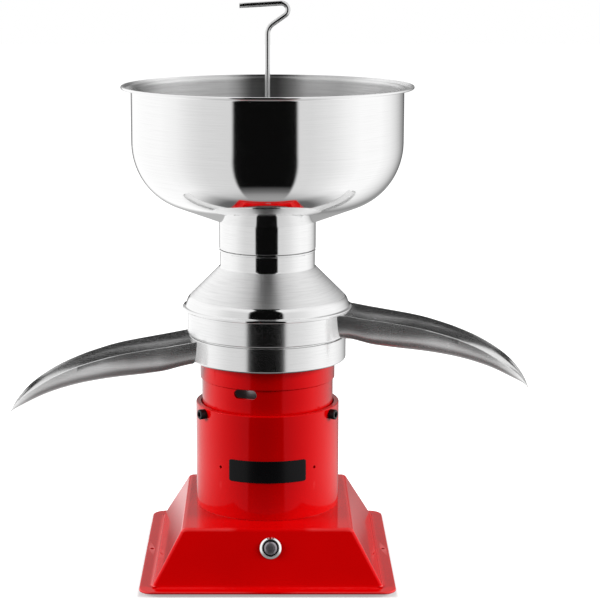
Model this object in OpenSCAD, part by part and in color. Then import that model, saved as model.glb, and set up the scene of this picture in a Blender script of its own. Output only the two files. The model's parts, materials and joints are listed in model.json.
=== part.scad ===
// Bench-top electric cream separator: a sheet-steel base and column, a vertical
// motor in a cast housing, a disc drum, two swivelling receivers with spouts,
// a float chamber and a milk bowl with a wire-handled tap.
// Millimetres. Origin at the centre of the footprint on the table, +Z up,
// -Y towards the switch (front), +X to the right.

/* [Base] */
// Width of the base over its side flanges
base_w = 248; // [240:1:256]
// Depth of the base over its front and rear flanges
base_d = 264; // [256:1:270]
// Height of the base's flat top above the table
base_top = 57.5; // [56:0.5:59]
// Thickness of the base sheet
base_t = 2.0; // [1.6:0.1:2.2]
// Depth of the fixing flange outside the sloped walls
flange = 12; // [10:1:13]

/* [Column and housing] */
// Outer radius of the column tube
col_r = 72; // [71.5:0.1:72.5]
// Height of the column's top edge above the table
col_top = 163; // [162:0.5:164]
// Outer radius of the motor housing
hous_r = 65.9; // [65.5:0.1:66]
// Blank plate: half of the angle it wraps round the column
plate_half = 31.5; // [25:0.5:34]

/* [Receivers] */
// Outer radius of the skim milk receiver
skim_r = 78.6; // [78.4:0.1:78.8]
// Outer radius of the cream receiver
cream_r = 80.2; // [80:0.1:80.4]
// Reach of both spouts from the drum axis
reach = 262; // [244:1:264]
// How far the spout tip hangs below its receiver's floor
tip_drop = 57; // [53:1:59]
// How far the skim spout's tip leans down and the cream spout's tip leans up from that
spout_lean = 3.5; // [0:0.5:4]
// Resting direction of the cream spout, degrees towards the front
cream_turn = 5; // [0:1:30]

/* [Bowl] */
// Radius of the milk bowl's wall
bowl_r = 134; // [130:0.5:134]
// Height of the milk bowl's rim above the table
bowl_top = 480; // [474:1:482]
// Radius of the wire the tap handle is bent from
wire_r = 2.5; // [2:0.1:2.6]

/* [Hidden] */
$fn = 96;

paint = "firebrick";
steel = "silver";

// Base
wall_foot_z = 5.5;                  // top of the flange, foot of the sloped walls
foot_x = base_w / 2 - flange;       // half width at the foot of the walls
foot_y = base_d / 2 - flange;       // half depth at the foot of the walls
top_x = 82.5;                       // half width of the flat top
top_y = 96;                         // half depth of the flat top
wall_slope = atan((foot_y - top_y) / (base_top - wall_foot_z));
switch_z = 40.2;
switch_pos = [3, -foot_y + (switch_z - wall_foot_z) * tan(wall_slope), switch_z];

// Motor
housing_screw_z = 157;
housing_top = 207;
shaft_r = 4;
core_bottom = 72;                   // stator and armature cores
core_top = 112;
brush_z = 51.5;                     // centre height of the brushes

// Receivers
skim_z = 207.2;                     // underside of the skim receiver
cream_z = 233.2;                    // underside of the cream receiver
tray_h = 24.4;
sheet_t = 1.0;                      // stainless sheet thickness

// ---- shared shapes -------------------------------------------------------
module rod(radius, bottom, top) {
    translate([0, 0, bottom]) cylinder(r = radius, h = top - bottom);
}

module tube(outer, inner, bottom, top) {
    difference() {
        rod(outer, bottom, top);
        rod(inner, bottom - 1, top + 1);
    }
}

// cylinder lying along +X
module x_rod(radius, start, end) {
    translate([start, 0, 0]) rotate([0, 90, 0]) cylinder(r = radius, h = end - start);
}

// profile points are [radius, height]
module lathe(profile, angle = 360) {
    rotate_extrude(angle = angle, $fn = 96) polygon(profile);
}

// rectangular section swept half_angle either side of +X
module band(inner, outer, bottom, top, half_angle) {
    rotate([0, 0, -half_angle])
        lathe([[inner, bottom], [outer, bottom], [outer, top], [inner, top]], 2 * half_angle);
}

module round_slab(half_x, half_y, corner_r, bottom, top) {
    height = top - bottom;
    translate([-half_x + corner_r, -half_y, bottom])
        cube([2 * half_x - 2 * corner_r, 2 * half_y, height]);
    translate([-half_x, -half_y + corner_r, bottom])
        cube([2 * half_x, 2 * half_y - 2 * corner_r, height]);
    at_corners(half_x - corner_r, half_y - corner_r) rod(corner_r, bottom, top);
}

// copies turned about the machine's axis
module turned(angles) {
    for (a = angles) rotate([0, 0, a]) children();
}

module ring_of(count, radius, start = 0) {
    for (i = [0:count - 1])
        rotate([0, 0, start + i * 360 / count]) translate([radius, 0, 0]) children();
}

module at_corners(half_x, half_y) {
    for (i = [-1, 1], j = [-1, 1]) translate([i * half_x, j * half_y, 0]) children();
}

// points of an arc, both ends included
function arc(cx, cy, radius, from, to, steps) = [
    for (i = [0:steps])
        let (a = from + (to - from) * i / steps)
        [cx + radius * cos(a), cy + radius * sin(a)]
];

function unit(v) = v / norm(v);

// round bar along a list of points; side_ref is never parallel to the path
module sweep(path, radius, sides, side_ref) {
    last = len(path) - 1;
    points = [
        for (i = [0:last])
            let (along = unit(path[min(i + 1, last)] - path[max(i - 1, 0)]),
                 across = unit(cross(along, side_ref)),
                 up = cross(across, along))
            for (j = [0:sides - 1])
                let (a = 360 * j / sides)
                path[i] + radius * cos(a) * across + radius * sin(a) * up
    ];
    faces = concat(
        [for (j = [1:sides - 2]) [0, j, j + 1]],
        [for (i = [0:last - 1], j = [0:sides - 1])
            [i * sides + j, (i + 1) * sides + j, (i + 1) * sides + (j + 1) % sides]],
        [for (i = [0:last - 1], j = [0:sides - 1])
            [i * sides + j, (i + 1) * sides + (j + 1) % sides, i * sides + (j + 1) % sides]],
        [for (j = [1:sides - 2]) last * sides * [1, 1, 1] + [0, j + 1, j]]);
    polyhedron(points, faces);
}

// ---- places shared by several pieces -------------------------------------
module at_foot_screws() { at_corners(foot_x - 17, foot_y - 17) children(); }
module at_column_bolts() { ring_of(4, 64.5) children(); }
module at_motor_screws() { ring_of(4, 30, 45) children(); }
module at_through_bolts() { at_corners(32.6, 32.6) children(); }
module at_brushes() { turned([0, 180]) children(); }

// +X points outwards along each housing screw
module at_housing_screws() {
    translate([0, 0, housing_screw_z]) turned([-150, -30, 90]) children();
}

// +Z points out of the sloped front wall
module at_switch() {
    translate(switch_pos) rotate([90 - wall_slope, 0, 0]) children();
}

// the hole for the mains lead, +Z pointing to the rear
cord_x = -40;
cord_z = 22;
module at_cord_hole() {
    translate([cord_x, 0, cord_z]) rotate([-90, 0, 0]) children();
}

// ---- base ----------------------------------------------------------------
// sloped body, shrunk by inset at the sides and lowered by drop
module hood_form(inset, drop) {
    foot_corner = 8;
    top_corner = 6;
    rim_h = 0.6;
    hull() {
        at_corners(foot_x - inset - foot_corner, foot_y - inset - foot_corner)
            translate([0, 0, wall_foot_z - rim_h - drop])
                cylinder(r = foot_corner, h = rim_h, $fn = 32);
        at_corners(top_x - inset - top_corner, top_y - inset - top_corner)
            translate([0, 0, base_top - drop - top_corner]) sphere(r = top_corner, $fn = 32);
        at_corners(top_x - inset - 9, top_y - inset - 9)
            translate([0, 0, base_top - drop - 1]) cylinder(r = top_corner, h = 1, $fn = 32);
    }
}

module hood_shell() {
    pad = 38;                       // corner pads left for the foot screws
    difference() {
        union() {
            hood_form(0, 0);
            round_slab(base_w / 2, base_d / 2, 12, 3, wall_foot_z);
        }
        difference() {
            hood_form(base_t, base_t);
            at_corners(foot_x - 6, foot_y - 6)
                translate([-pad / 2, -pad / 2, 5]) cube([pad, pad, 2]);
        }
        round_slab(foot_x - 3.4, foot_y - 3.4, 8, 2, 5);    // recess for the base plate
    }
}

module base_hood() {
    flange_hole_in = 6;             // flange holes, in from the outer edge
    color(paint) difference() {
        hood_shell();
        rod(58, 40, 70);            // motor opening
        at_column_bolts() rod(2.75, 40, 70);
        for (side = [-1, 1])
            translate([side * (base_w / 2 - flange_hole_in), 0, 0]) rod(2.4, 0, 10);
        translate([0, base_d / 2 - flange_hole_in, 0]) rod(2.4, 0, 10);
        at_foot_screws() rod(2.05, 0, 10);
        at_switch() rod(9.6, -8, 6);
        at_cord_hole() rod(6.1, foot_y - 30 + flange - 12, foot_y + 10 + flange - 12);
    }
}

module base_plate() {
    slot_w = 4;
    slot_pitch = 12;
    color("dimgray") difference() {
        round_slab(foot_x - 4, foot_y - 4, 7.5, 2.95, 4.95);
        at_foot_screws() rod(2.1, 0, 10);
        for (i = [-4:4])
            translate([i * slot_pitch - slot_w / 2, -30, 0]) cube([slot_w, 60, 10]);
    }
}

module rubber_feet() {
    color("black") at_foot_screws() difference() {
        lathe([[0, 0], [10, 0], [11, 1], [11, 2.9], [0, 2.9]]);
        rod(4.2, -1, 1.7);
        rod(2.1, -1, 4);
    }
}

module foot_screws() {
    color("silver") at_foot_screws() {
        difference() {
            rod(4, 0.35, 1.65);
            rotate([0, 0, 30]) translate([-0.5, -3, 0]) cube([1, 6, 0.9]);
        }
        rod(2, 1.65, 10);
    }
}

// ---- column --------------------------------------------------------------
col_wall = 3;
col_foot_top = base_top + 3;        // top of the column's inward foot

module column() {
    color(paint) difference() {
        lathe([
            [60, base_top], [col_r, base_top],
            [col_r, col_top - 0.8], [col_r - 0.8, col_top],
            [col_r - 2.2, col_top], [col_r - col_wall, col_top - 0.8],
            [col_r - col_wall, col_foot_top], [60, col_foot_top]
        ]);
        at_column_bolts() rod(2.75, 50, 70);
        at_housing_screws() x_rod(3.3, 60, 80);
        // two small holes, one beyond each end of the plate
        translate([0, 0, 108]) turned([-130, -50]) x_rod(1.5, 60, 80);
    }
}

module column_bolts() {
    head_bottom = col_foot_top + 0.02;
    color("dimgray") at_column_bolts() {
        difference() {
            rod(4.3, head_bottom, head_bottom + 3.4);
            translate([0, 0, base_top + 4.6]) cylinder(r = 2.3, h = 3, $fn = 6);
        }
        rod(2.5, 47, head_bottom);
    }
}

module column_nuts() {
    color("gray") at_column_bolts() difference() {
        translate([0, 0, 51.2]) cylinder(r = 4.6, h = 4, $fn = 6);
        rod(2.52, 50, 56);
    }
}

module name_plate() {
    color("black") rotate([0, 0, -90]) band(col_r + 0.02, col_r + 0.7, 96, 118, plate_half);
}

// ---- motor housing -------------------------------------------------------
module motor_housing() {
    bead_z = 188.3;                 // underside of the top bead
    bead_r = hous_r + 1.7;
    inner_r = hous_r - 3.5;
    // round-ended slot in the wall, left of the front
    slot_angle = -109.5;
    slot_z = 182.8;
    slot_r = 4.5;
    slot_pitch = 14.5;
    color(paint) difference() {
        lathe([
            [9, 146], [inner_r, 146], [inner_r, 118], [hous_r - 0.6, 118],
            [hous_r, 118.6], [hous_r, bead_z], [hous_r + 1.2, bead_z],
            [bead_r, bead_z + 0.6], [bead_r, housing_top - 0.8],
            [hous_r + 0.9, housing_top], [inner_r, housing_top],
            [inner_r, 151.5], [hous_r - 5, 150], [9, 150]
        ]);
        at_housing_screws() x_rod(3, 50, 80);
        at_motor_screws() rod(2.3, 140, 160);
        rotate([0, 0, slot_angle]) {
            for (side = [-1, 1])
                translate([0, side * slot_pitch / 2, slot_z]) x_rod(slot_r, 50, 80);
            translate([50, -slot_pitch / 2, slot_z - slot_r])
                cube([30, slot_pitch, 2 * slot_r]);
        }
    }
}

module housing_screws() {
    head_end = col_r + 5.6;
    color("black") at_housing_screws() difference() {
        union() {
            x_rod(2.95, 60, 73);
            x_rod(5, col_r + 0.1, head_end);
            translate([head_end, 0, 0]) rotate([0, 90, 0]) cylinder(r1 = 5, r2 = 4.3, h = 0.7);
        }
        translate([col_r + 2.6, 0, 0]) rotate([0, 90, 0]) cylinder(r = 2.9, h = 10, $fn = 6);
    }
}

module housing_bushes() {
    color("black") at_housing_screws() difference() {
        x_rod(5.6, hous_r + 0.02, col_r - 3.3);
        x_rod(3.1, 60, 80);
    }
}

// ---- motor, fixed parts --------------------------------------------------
shield_r = 41;
shield_inner_r = 38;

// drilled ears outside a shield's wall for the through bolts
module bolt_ears(bottom, top) {
    difference() {
        at_through_bolts() rod(6, bottom, top);
        rod(shield_inner_r, bottom - 1, top + 1);
        at_through_bolts() rod(2.05, bottom - 1, top + 1);
    }
}

// four openings cut through a shield's wall
module side_windows(bottom) {
    turned([0:90:270]) translate([30, -11, bottom]) cube([20, 22, 14]);
}

module motor_upper_shield() {
    color("lightgray") difference() {
        union() {
            lathe([
                [5, 139.8], [11.05, 139.8], [11.05, 132.6], [15, 132.6], [15, 138],
                [shield_inner_r, 138], [shield_inner_r, 112.2],
                [shield_r, 112.2], [shield_r, 142.9], [5, 142.9]
            ]);
            bolt_ears(112.2, 118);
        }
        side_windows(120);
        at_motor_screws() rod(2.25, 130, 150);
        ring_of(6, 24) rod(3.4, 130, 150);
    }
}

module motor_lower_shield() {
    color("lightgray") difference() {
        union() {
            lathe([
                [5, 32], [15, 32], [15, 40], [38, 40], [shield_r, 43],
                [shield_r, 71.8], [shield_inner_r, 71.8], [shield_inner_r, 43],
                [11.05, 43], [11.05, 34], [5, 34]
            ]);
            bolt_ears(66, 71.8);
        }
        side_windows(48);
        ring_of(8, 26, 22.5) rod(4, 30, 50);
    }
}

module stator_core() {
    pole_half = 56;                 // half of the angle each pole spans
    color("slategray") translate([0, 0, core_bottom]) difference() {
        intersection() {
            translate([-38, -38, 0]) cube([76, 76, core_top - core_bottom]);
            cylinder(r = 50, h = core_top - core_bottom);
        }
        // coil space, leaving the poles at front and rear
        difference() {
            rod(33, -1, 41);
            intersection() {
                rod(34, -2, 42);
                turned([90, 270]) translate([0, 0, -2]) linear_extrude(44)
                    polygon([[0, 0], [40, -40 * tan(pole_half)], [40, 40 * tan(pole_half)]]);
            }
        }
        rod(22.5, -1, 41);
        at_through_bolts() rod(2.1, -1, 42);
    }
}

module field_windings() {
    color("chocolate") turned([90, 270]) difference() {
        band(24, 31.5, 64.5, 119.5, 76);
        band(20, 36, core_bottom - 0.5, core_top + 0.5, 58.5);
    }
}

module through_bolts() {
    color("silver") at_through_bolts() {
        rod(2, 62, 122.5);
        difference() {
            translate([0, 0, 118.05]) cylinder(r = 4, h = 3.2, $fn = 6);
            rod(1.9, 118, 123);
        }
        rod(3.8, 62, 65.95);
    }
}

module motor_mount_screws() {
    color("silver") at_motor_screws() {
        rod(2.2, 139.5, 150.05);
        difference() {
            rod(4, 150.05, 152.6);
            translate([0, 0, 151.2]) cylinder(r = 1.8, h = 3, $fn = 6);
        }
    }
}

module motor_isolator() {
    color("black") difference() {
        tube(40, 20, 142.95, 145.95);
        at_motor_screws() rod(2.6, 140, 150);
    }
}

module bearing(bottom) {
    height = 7;
    color("gainsboro") {
        tube(11, 9, bottom, bottom + height);
        tube(6, shaft_r + 0.04, bottom, bottom + height);
        ring_of(7, 7.5) translate([0, 0, bottom + height / 2]) sphere(r = 1.45);
    }
}

module upper_bearing() { bearing(132.7); }
module lower_bearing() { bearing(34.1); }

module brush_holders() {
    color("peru") at_brushes() difference() {
        translate([15.5, -5.5, 43.05]) cube([20.5, 11, 14.5]);
        translate([10, -3.1, brush_z - 4.1]) cube([24, 6.2, 8.2]);
    }
}

// three separate wire rings behind each brush
module brush_springs() {
    color("silver") at_brushes() for (x = [28.6, 30.4, 32.2])
        translate([x, 0, brush_z]) rotate([0, 90, 0])
            rotate_extrude() translate([2.2, 0]) circle(r = 0.45, $fn = 24);
}

module carbon_brushes() {
    color("black") at_brushes() difference() {
        translate([11.2, -3, brush_z - 4]) cube([16.6, 6, 8]);
        rod(11.6, 40, 60);
    }
}

// ---- switch and mains lead -----------------------------------------------
module switch_body() {
    color("silver") at_switch() difference() {
        union() {
            lathe([
                [0, -26], [9.4, -26], [9.4, 0.05], [10.6, 0.05], [10.6, 1.3],
                [9.8, 2.1], [8.1, 2.1], [7.9, 1.7], [0, 1.7]
            ]);
            for (x = [-4, 4]) translate([x - 1, -0.4, -33]) cube([2, 0.8, 8]);
        }
        rod(6.6, -6, 5);
    }
}

module switch_nut() {
    color("silver") at_switch() difference() {
        translate([0, 0, -7.8]) cylinder(r = 12, h = 3.2, $fn = 6);
        rod(9.45, -9, 0);
    }
}

module power_button() {
    color("gray") at_switch()
        lathe([[0, -3], [6.5, -3], [6.5, 1.6], [5.9, 2.3], [3.5, 2.0], [0, 1.8]]);
}

function terminal_x(i) = 28.5 + i * 13.5;

module terminal_block() {
    color("white") difference() {
        translate([22, 60, 5]) cube([40, 16, 14]);
        for (i = [0:2]) translate([terminal_x(i), 68, 0]) rod(2.4, 12, 30);
    }
}

// straight lead running forwards from [x, y]
module lead(x, y, length) {
    translate([x, y, 9]) rotate([90, 0, 0]) cylinder(r = 1.3, h = length);
}

// three leads from the terminal block and two towards the switch
module wiring() {
    color("saddlebrown") {
        for (i = [0:2]) lead(terminal_x(i), 59.8, 40 - i * 14);
        for (x = [-16, 14]) lead(x, -58, 32);
    }
}

module cord_gland() {
    color("black") at_cord_hole() difference() {
        union() {
            rod(6, 98, 128);
            translate([0, 0, 98]) cylinder(r = 9, h = 4, $fn = 6);
            translate([0, 0, 118.5]) cylinder(r1 = 8.5, r2 = 7, h = 10);
        }
        rod(3.4, 90, 140);
    }
}

// The lead leaves the gland and winds down in flat loops: one turn is two half
// circles joined by straights, clockwise seen from above.
cord_r = 3.3;
loop_r = 15;
loop_straight = 40;
loop_centre = [cord_x + loop_r, 165];       // centre of the left half circle
loop_quarter = PI * loop_r / 2;             // length of a quarter circle
loop_length = 4 * loop_quarter + 2 * loop_straight;
loop_turns = 2 + (loop_quarter + loop_straight) / loop_length;
plug_pos = [46, loop_centre[1] + loop_r, 9.3];

// place seen from above after so many turns, starting at the loop's left end
function loop_point(turns) =
    let (s = (turns - floor(turns)) * loop_length,
         on_right = s - loop_quarter - loop_straight,
         on_front = on_right - 2 * loop_quarter,
         on_left = on_front - loop_straight,
         step = 90 / loop_quarter)
    loop_centre + (
        s < loop_quarter ? loop_r * [-cos(step * s), sin(step * s)] :
        on_right < 0 ? [s - loop_quarter, loop_r] :
        on_front < 0 ? [loop_straight, 0] + loop_r * [sin(step * on_right), cos(step * on_right)] :
        on_left < 0 ? [loop_straight - on_front, -loop_r] :
        loop_r * [-sin(step * on_left), -cos(step * on_left)]);

module power_cord() {
    steps = 72;
    fall = 18.6;
    end_y = plug_pos[1];
    path = concat(
        [for (y = [84, 120, 150]) [cord_x, y, cord_z]],
        [for (i = [0:steps])
            let (p = loop_point(min(loop_turns * i / steps, loop_turns - 0.0001)))
            [p[0], p[1], cord_z - fall * i / steps]],
        [[22, end_y, 4.4], [28, end_y, 6.2], [34, end_y, 8.4], [39, end_y, 9.2], plug_pos]);
    color("black") sweep(path, cord_r, 12, [0, 0, 1]);
}

module mains_plug() {
    color("black") translate(plug_pos + [0.05, 0, 0]) rotate([0, 90, 0]) {
        lathe([[0, 0], [4.6, 0], [5, 8], [8.9, 10], [8.9, 22], [7.5, 24], [0, 24]]);
        for (side = [-1, 1]) translate([0, side * 4.5, 22]) cylinder(r = 2, h = 18);
    }
}

// ---- rotor ---------------------------------------------------------------
module motor_shaft() {
    color("gainsboro") {
        rod(shaft_r, 31, 172);
        rod(7, 152, 155.95);
    }
}

slot_count = 12;
slot_ring_r = 18.2;

module armature_core() {
    color("slategray") difference() {
        rod(21.9, core_bottom, core_top);
        rod(shaft_r + 0.02, 60, 120);
        ring_of(slot_count, slot_ring_r) {
            translate([1.8, -0.8, 70]) cube([4, 1.6, 44]);
            rod(2.4, 70, 114);
        }
    }
}

module armature_winding() {
    color("chocolate") {
        ring_of(slot_count, slot_ring_r) rod(2.3, core_bottom - 1, core_top + 1);
        lathe([[8, 61], [15, 61], [20, 64], [21, 66], [21, 71.9], [8, 71.9]]);
        lathe([[8, 112.1], [21, 112.1], [21, 118], [20, 119.5], [15, 121], [8, 121]]);
    }
}

module commutator() {
    color("peru") difference() {
        tube(11.5, shaft_r + 0.03, 44.5, 58.5);
        ring_of(24, 9.5) translate([0, -0.3, 44]) cube([3, 0.6, 15]);
    }
}

module cooling_fan() {
    color("dimgray") {
        tube(8, shaft_r + 0.03, 123, 131);
        tube(30, 7.9, 129.6, 131);
        ring_of(11, 12) translate([0, -0.6, 123]) cube([17.5, 1.2, 7]);
    }
}

// ---- drum ----------------------------------------------------------------
drum_r = 50;
cream_screw_z = 241.2;

module drum_base() {
    bore = shaft_r + 0.02;
    color("gainsboro") lathe([
        [bore, 156], [48.5, 156], [drum_r, 157.5], [drum_r, 190], [45, 190], [45, 164],
        [41, 160], [9, 160], [9, 174], [0, 174], [0, 172.2], [bore, 172.2]
    ]);
}

module disc_carrier() {
    color("gainsboro") difference() {
        lathe([[10, 160.05], [34, 160.05], [34, 161.2], [12, 172], [12, 250], [10, 250]]);
        turned([30:120:270]) translate([0, 0, 166]) x_rod(2.5, 8, 40);
    }
}

// stack of nine conical discs
module drum_discs() {
    disc_pitch = 2.6;
    color("lightgray") for (i = [0:8]) translate([0, 0, 165 + i * disc_pitch]) difference() {
        lathe([[40, 0], [40, 0.9], [14, 34.9], [14, 34]]);
        ring_of(3, 26) rod(2.5, -1, 39);
    }
}

module top_disc() {
    color("gainsboro") lathe([
        [42.5, 186.5], [42.5, 188.1], [15.5, 223.4], [15.5, 238], [14, 238], [14, 223.8]
    ]);
}

module drum_cover() {
    color("gainsboro") difference() {
        lathe([
            [46.5, 192.5], [drum_r, 192.5], [drum_r, 196], [22, 233],
            [22, 238], [17.5, 238], [17.5, 231.3], [46.5, 196.2]
        ]);
        turned([0:90:270]) translate([0, 0, 229]) x_rod(2, 10, 40);
    }
}

module drum_seal() { color("gold") tube(49.4, 45.6, 190.1, 192.4); }

module drum_nut() {
    color("silver") difference() {
        lathe([
            [16.2, 238.2], [20, 238.2], [20, 254.5], [18.5, 256], [10, 256],
            [10, 250.2], [12.05, 250.2], [12.05, 244], [16.2, 244]
        ]);
        translate([0, 0, cream_screw_z]) {
            x_rod(1.85, 10, 30);
            rotate([0, 0, 180]) x_rod(0.8, 10, 30);
        }
        ring_of(6, 18.2, 30) translate([0, -2, 248]) cube([5, 4, 10]);
    }
}

module cream_screw() {
    color("goldenrod") translate([0, 0, cream_screw_z]) difference() {
        x_rod(1.8, 16.3, 19.8);
        x_rod(0.5, 10, 30);
        translate([19, -2, -0.25]) cube([2, 4, 0.5]);
    }
}

// ---- receivers -----------------------------------------------------------
// pressed ring with a central collar, a skirt below its floor
// and an opening in the +X side of its wall
module tray(floor_z, wall_r, collar_r, collar_h, skirt_r, skirt_h) {
    bend_r = 5;
    bend_x = wall_r - bend_r;
    bend_z = floor_z + bend_r;
    difference() {
        lathe(concat(
            [[collar_r, floor_z + collar_h], [collar_r - sheet_t, floor_z + collar_h],
             [collar_r - sheet_t, floor_z], [skirt_r - sheet_t, floor_z],
             [skirt_r - sheet_t, floor_z - skirt_h], [skirt_r, floor_z - skirt_h],
             [skirt_r, floor_z]],
            arc(bend_x, bend_z, bend_r, -90, 0, 8),
            [[wall_r, floor_z + tray_h], [wall_r - sheet_t, floor_z + tray_h]],
            arc(bend_x, bend_z, bend_r - sheet_t, 0, -90, 8),
            [[collar_r, floor_z + sheet_t]]));
        translate([60, -30, floor_z + 1.6]) cube([40, 60, tray_h - 7]);
    }
}

// Spout tables, drawn for a reach of 262 and a tip drop of 57.
spout_start = 60;
drawn_reach = 262;
drawn_drop = 57;
// [distance from the axis, width of the gutter]
spout_widths = [
    [60, 73], [80, 73], [95, 71.6], [110, 69.4], [125, 68], [140, 67.4], [155, 66.2],
    [170, 63.8], [185, 61.6], [200, 60.6], [222, 60], [232, 58.6], [240, 54.8],
    [247, 47.6], [252, 39], [256, 29], [259, 19], [261, 10], [262, 4]
];
// [distance from the axis, depth of the gutter]
spout_depths = [
    [60, 25.6], [66, 25.6], [80, 26.4], [95, 27.4], [110, 27.5], [125, 27.1], [140, 26.2],
    [155, 24.8], [170, 23.1], [185, 21.3], [200, 19.2], [212, 17.3], [222, 15.4],
    [232, 13.4], [240, 11.8], [247, 10.2], [252, 8.6], [256, 6.8], [259, 4.4],
    [261, 2.2], [262, 1.6]
];
// [distance from the axis, height of the gutter's edge above the receiver's floor]
spout_edges = [
    [60, 24.2], [66, 24.2], [80, 22.0], [95, 19.4], [110, 17.1], [125, 14.7], [140, 12.1],
    [155, 8.9], [170, 4.8], [185, 0.1], [200, -5.7], [212, -11.2], [222, -16.7],
    [232, -23.1], [240, -28.9], [247, -34.6], [252, -39.2], [256, -43.6],
    [259, -48.6], [261, -53.6], [262, -56.8]
];
// distances from the axis at which sections are placed
spout_stations = [
    60, 70, 78, 88, 100, 114, 128, 142, 156, 170, 184, 197, 209, 220, 230, 239, 246,
    251.5, 255.5, 258.5, 260.5, 262
];
section_steps = 16;

function spout_edge(x, lean) = min(24.2,
    lookup(x, spout_edges) * tip_drop / drawn_drop + lean * (0.4 + 0.6 * (x - 66) / 196));

// point [y, z] on the lower half of a superellipse
function gutter_point(angle, half_w, depth) =
    let (power = 0.62, c = cos(angle), s = sin(angle))
    [half_w * sign(c) * pow(abs(c), power), -depth * pow(abs(s), power)];

// closed section: along the outside of the gutter, then back along the inside
function spout_section(x, floor_z, lean) =
    let (half_w = lookup(x, spout_widths) / 2,
         depth = lookup(x, spout_depths),
         wall = min(1.2, depth * 0.45, half_w * 0.35),
         place = [
             spout_start + (x - spout_start) * (reach - spout_start) / (drawn_reach - spout_start),
             0, floor_z + spout_edge(x, lean)],
         outer = [for (i = [0:section_steps])
             gutter_point(180 * i / section_steps, half_w, depth)],
         inner = [for (i = [section_steps:-1:0])
             gutter_point(180 * i / section_steps, half_w - wall, depth - wall)])
    [for (p = concat(outer, inner)) place + [0, p[0], p[1]]];

module spout(floor_z, wall_r, lean) {
    m = 2 * (section_steps + 1);    // points in one section
    last = len(spout_stations) - 1;
    end = last * m * [1, 1, 1];
    points = [for (x = spout_stations) each spout_section(x, floor_z, lean)];
    faces = concat(
        [for (i = [0:section_steps - 1]) [i, i + 1, m - 2 - i]],
        [for (i = [0:section_steps - 1]) [i, m - 2 - i, m - 1 - i]],
        [for (j = [0:last - 1], i = [0:m - 1])
            [j * m + i, (j + 1) * m + i, j * m + (i + 1) % m]],
        [for (j = [0:last - 1], i = [0:m - 1])
            [(j + 1) * m + i, (j + 1) * m + (i + 1) % m, j * m + (i + 1) % m]],
        [for (i = [0:section_steps - 1]) end + [i + 1, i, m - 2 - i]],
        [for (i = [0:section_steps - 1]) end + [m - 2 - i, i, m - 1 - i]]);
    difference() {
        polyhedron(points, faces);
        rod(wall_r + 0.02, floor_z - 60, floor_z + 60);
    }
}

module turn_skim() { color(steel) rotate([0, 0, 180]) children(); }
module turn_cream() { color(steel) rotate([0, 0, -cream_turn]) children(); }

module skim_tray() { turn_skim() tray(skim_z, skim_r, 46, 13.6, 61.9, 8); }
module skim_spout() { turn_skim() spout(skim_z, skim_r, -spout_lean); }
module cream_tray() { turn_cream() tray(cream_z, cream_r, 27, 6, 76.9, 5); }
module cream_spout() { turn_cream() spout(cream_z, cream_r, spout_lean); }

module receiver_cover() {
    color(steel) lathe(concat(
        [[46.3, 317.6], [47.3, 317.6], [47.3, 301.4], [48, 300], [78.6, 269.4]],
        arc(73.5, 263.3, 8.5, 40, 0, 6),
        [[82, 261.4], [83.4, 261.2], [84.5, 260.4], [84.7, 259.2], [84.2, 258.2],
         [83, 257.8], [78.6, 257.8], [78.6, 252], [77.6, 252], [77.6, 262],
         [80.6, 263.4], [79.2, 267.2], [77.6, 268.9], [47, 299.5], [46.3, 301]]));
}

module float_chamber() {
    color(steel) lathe([
        [8, 252], [8, 300.5], [44.9, 300.5], [45.9, 301.5], [45.9, 317.7], [47.2, 317.9],
        [48, 319.8], [48, 347], [47, 347], [47, 320.2], [46.6, 318.9],
        [44.9, 318.7], [44.9, 302.2], [44.2, 301.5], [6.5, 301.5], [6.5, 252]
    ]);
}

module float() {
    color("silver") {
        difference() {
            lathe([
                [0, 308], [38, 308], [42, 309.2], [43.3, 311.5], [43.3, 314.8],
                [42, 317], [40.5, 317.6], [38, 317], [0, 317]
            ]);
            // these three rods lie on the axis and cut one central hole
            turned([60:120:300]) rod(3, 300, 320);
        }
        // three bulges under the float
        ring_of(3, 24) translate([0, 0, 312.6]) intersection() {
            sphere(r = 10.5, $fn = 64);
            rod(12, -16, -4);
        }
        translate([0, 0, 317]) cylinder(r1 = 7.5, r2 = 3, h = 3.6);
    }
}

// ---- bowl and tap --------------------------------------------------------
tap_hole_z = 343;

module milk_bowl() {
    t = sheet_t;
    bend_r = 62;
    bend_x = bowl_r - bend_r;
    bend_z = bowl_top - 55;
    lip_z = bowl_top - 3;
    color(steel) lathe(concat(
        [[14.05, 335], [45.4, 347.55], [45.4, 338], [46.4, 338], [46.4, 347.95]],
        arc(bend_x, bend_z, bend_r, -70, 0, 20),
        [[bowl_r, bowl_top - 6.2], [bowl_r + 0.5, bowl_top - 4.5],
         [bowl_r + 1.6, bowl_top - 3.35], [bowl_r + 3.2, lip_z]],
        arc(bowl_r + 8.4, bowl_top - 1.5, 1.5, -90, 90, 6),
        [[bowl_r + 7.2, bowl_top - 0.8], [bowl_r + 6.7, bowl_top - 2],
         [bowl_r + 3.1, lip_z + t], [bowl_r + 1.3 - t * 0.4, bowl_top - 3.4 + t],
         [bowl_r + 0.4 - t * 0.9, bowl_top - 4.6 + t * 0.4], [bowl_r - t, bowl_top - 6.2]],
        arc(bend_x, bend_z, bend_r - t, 0, -70, 20),
        [[14.05, 336.2]]));
}

module tap_seat() {
    color(steel) difference() {
        lathe([
            [5, 330], [13, 330], [14, 331], [14, 352], [11, 352], [11, 332], [5, 332]
        ]);
        translate([0, 0, tap_hole_z]) x_rod(3.5, -20, 20);
    }
}

module tap_plug() {
    color(steel) difference() {
        lathe([
            [6.5, 332.2], [10.95, 332.2], [10.95, 352.1], [13.5, 352.1], [13.5, 354],
            [4, 358], [0, 358], [0, 349], [6.5, 349]
        ]);
        translate([0, 0, tap_hole_z]) rotate([0, 0, 90]) x_rod(3.5, -20, 20);
    }
}

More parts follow.
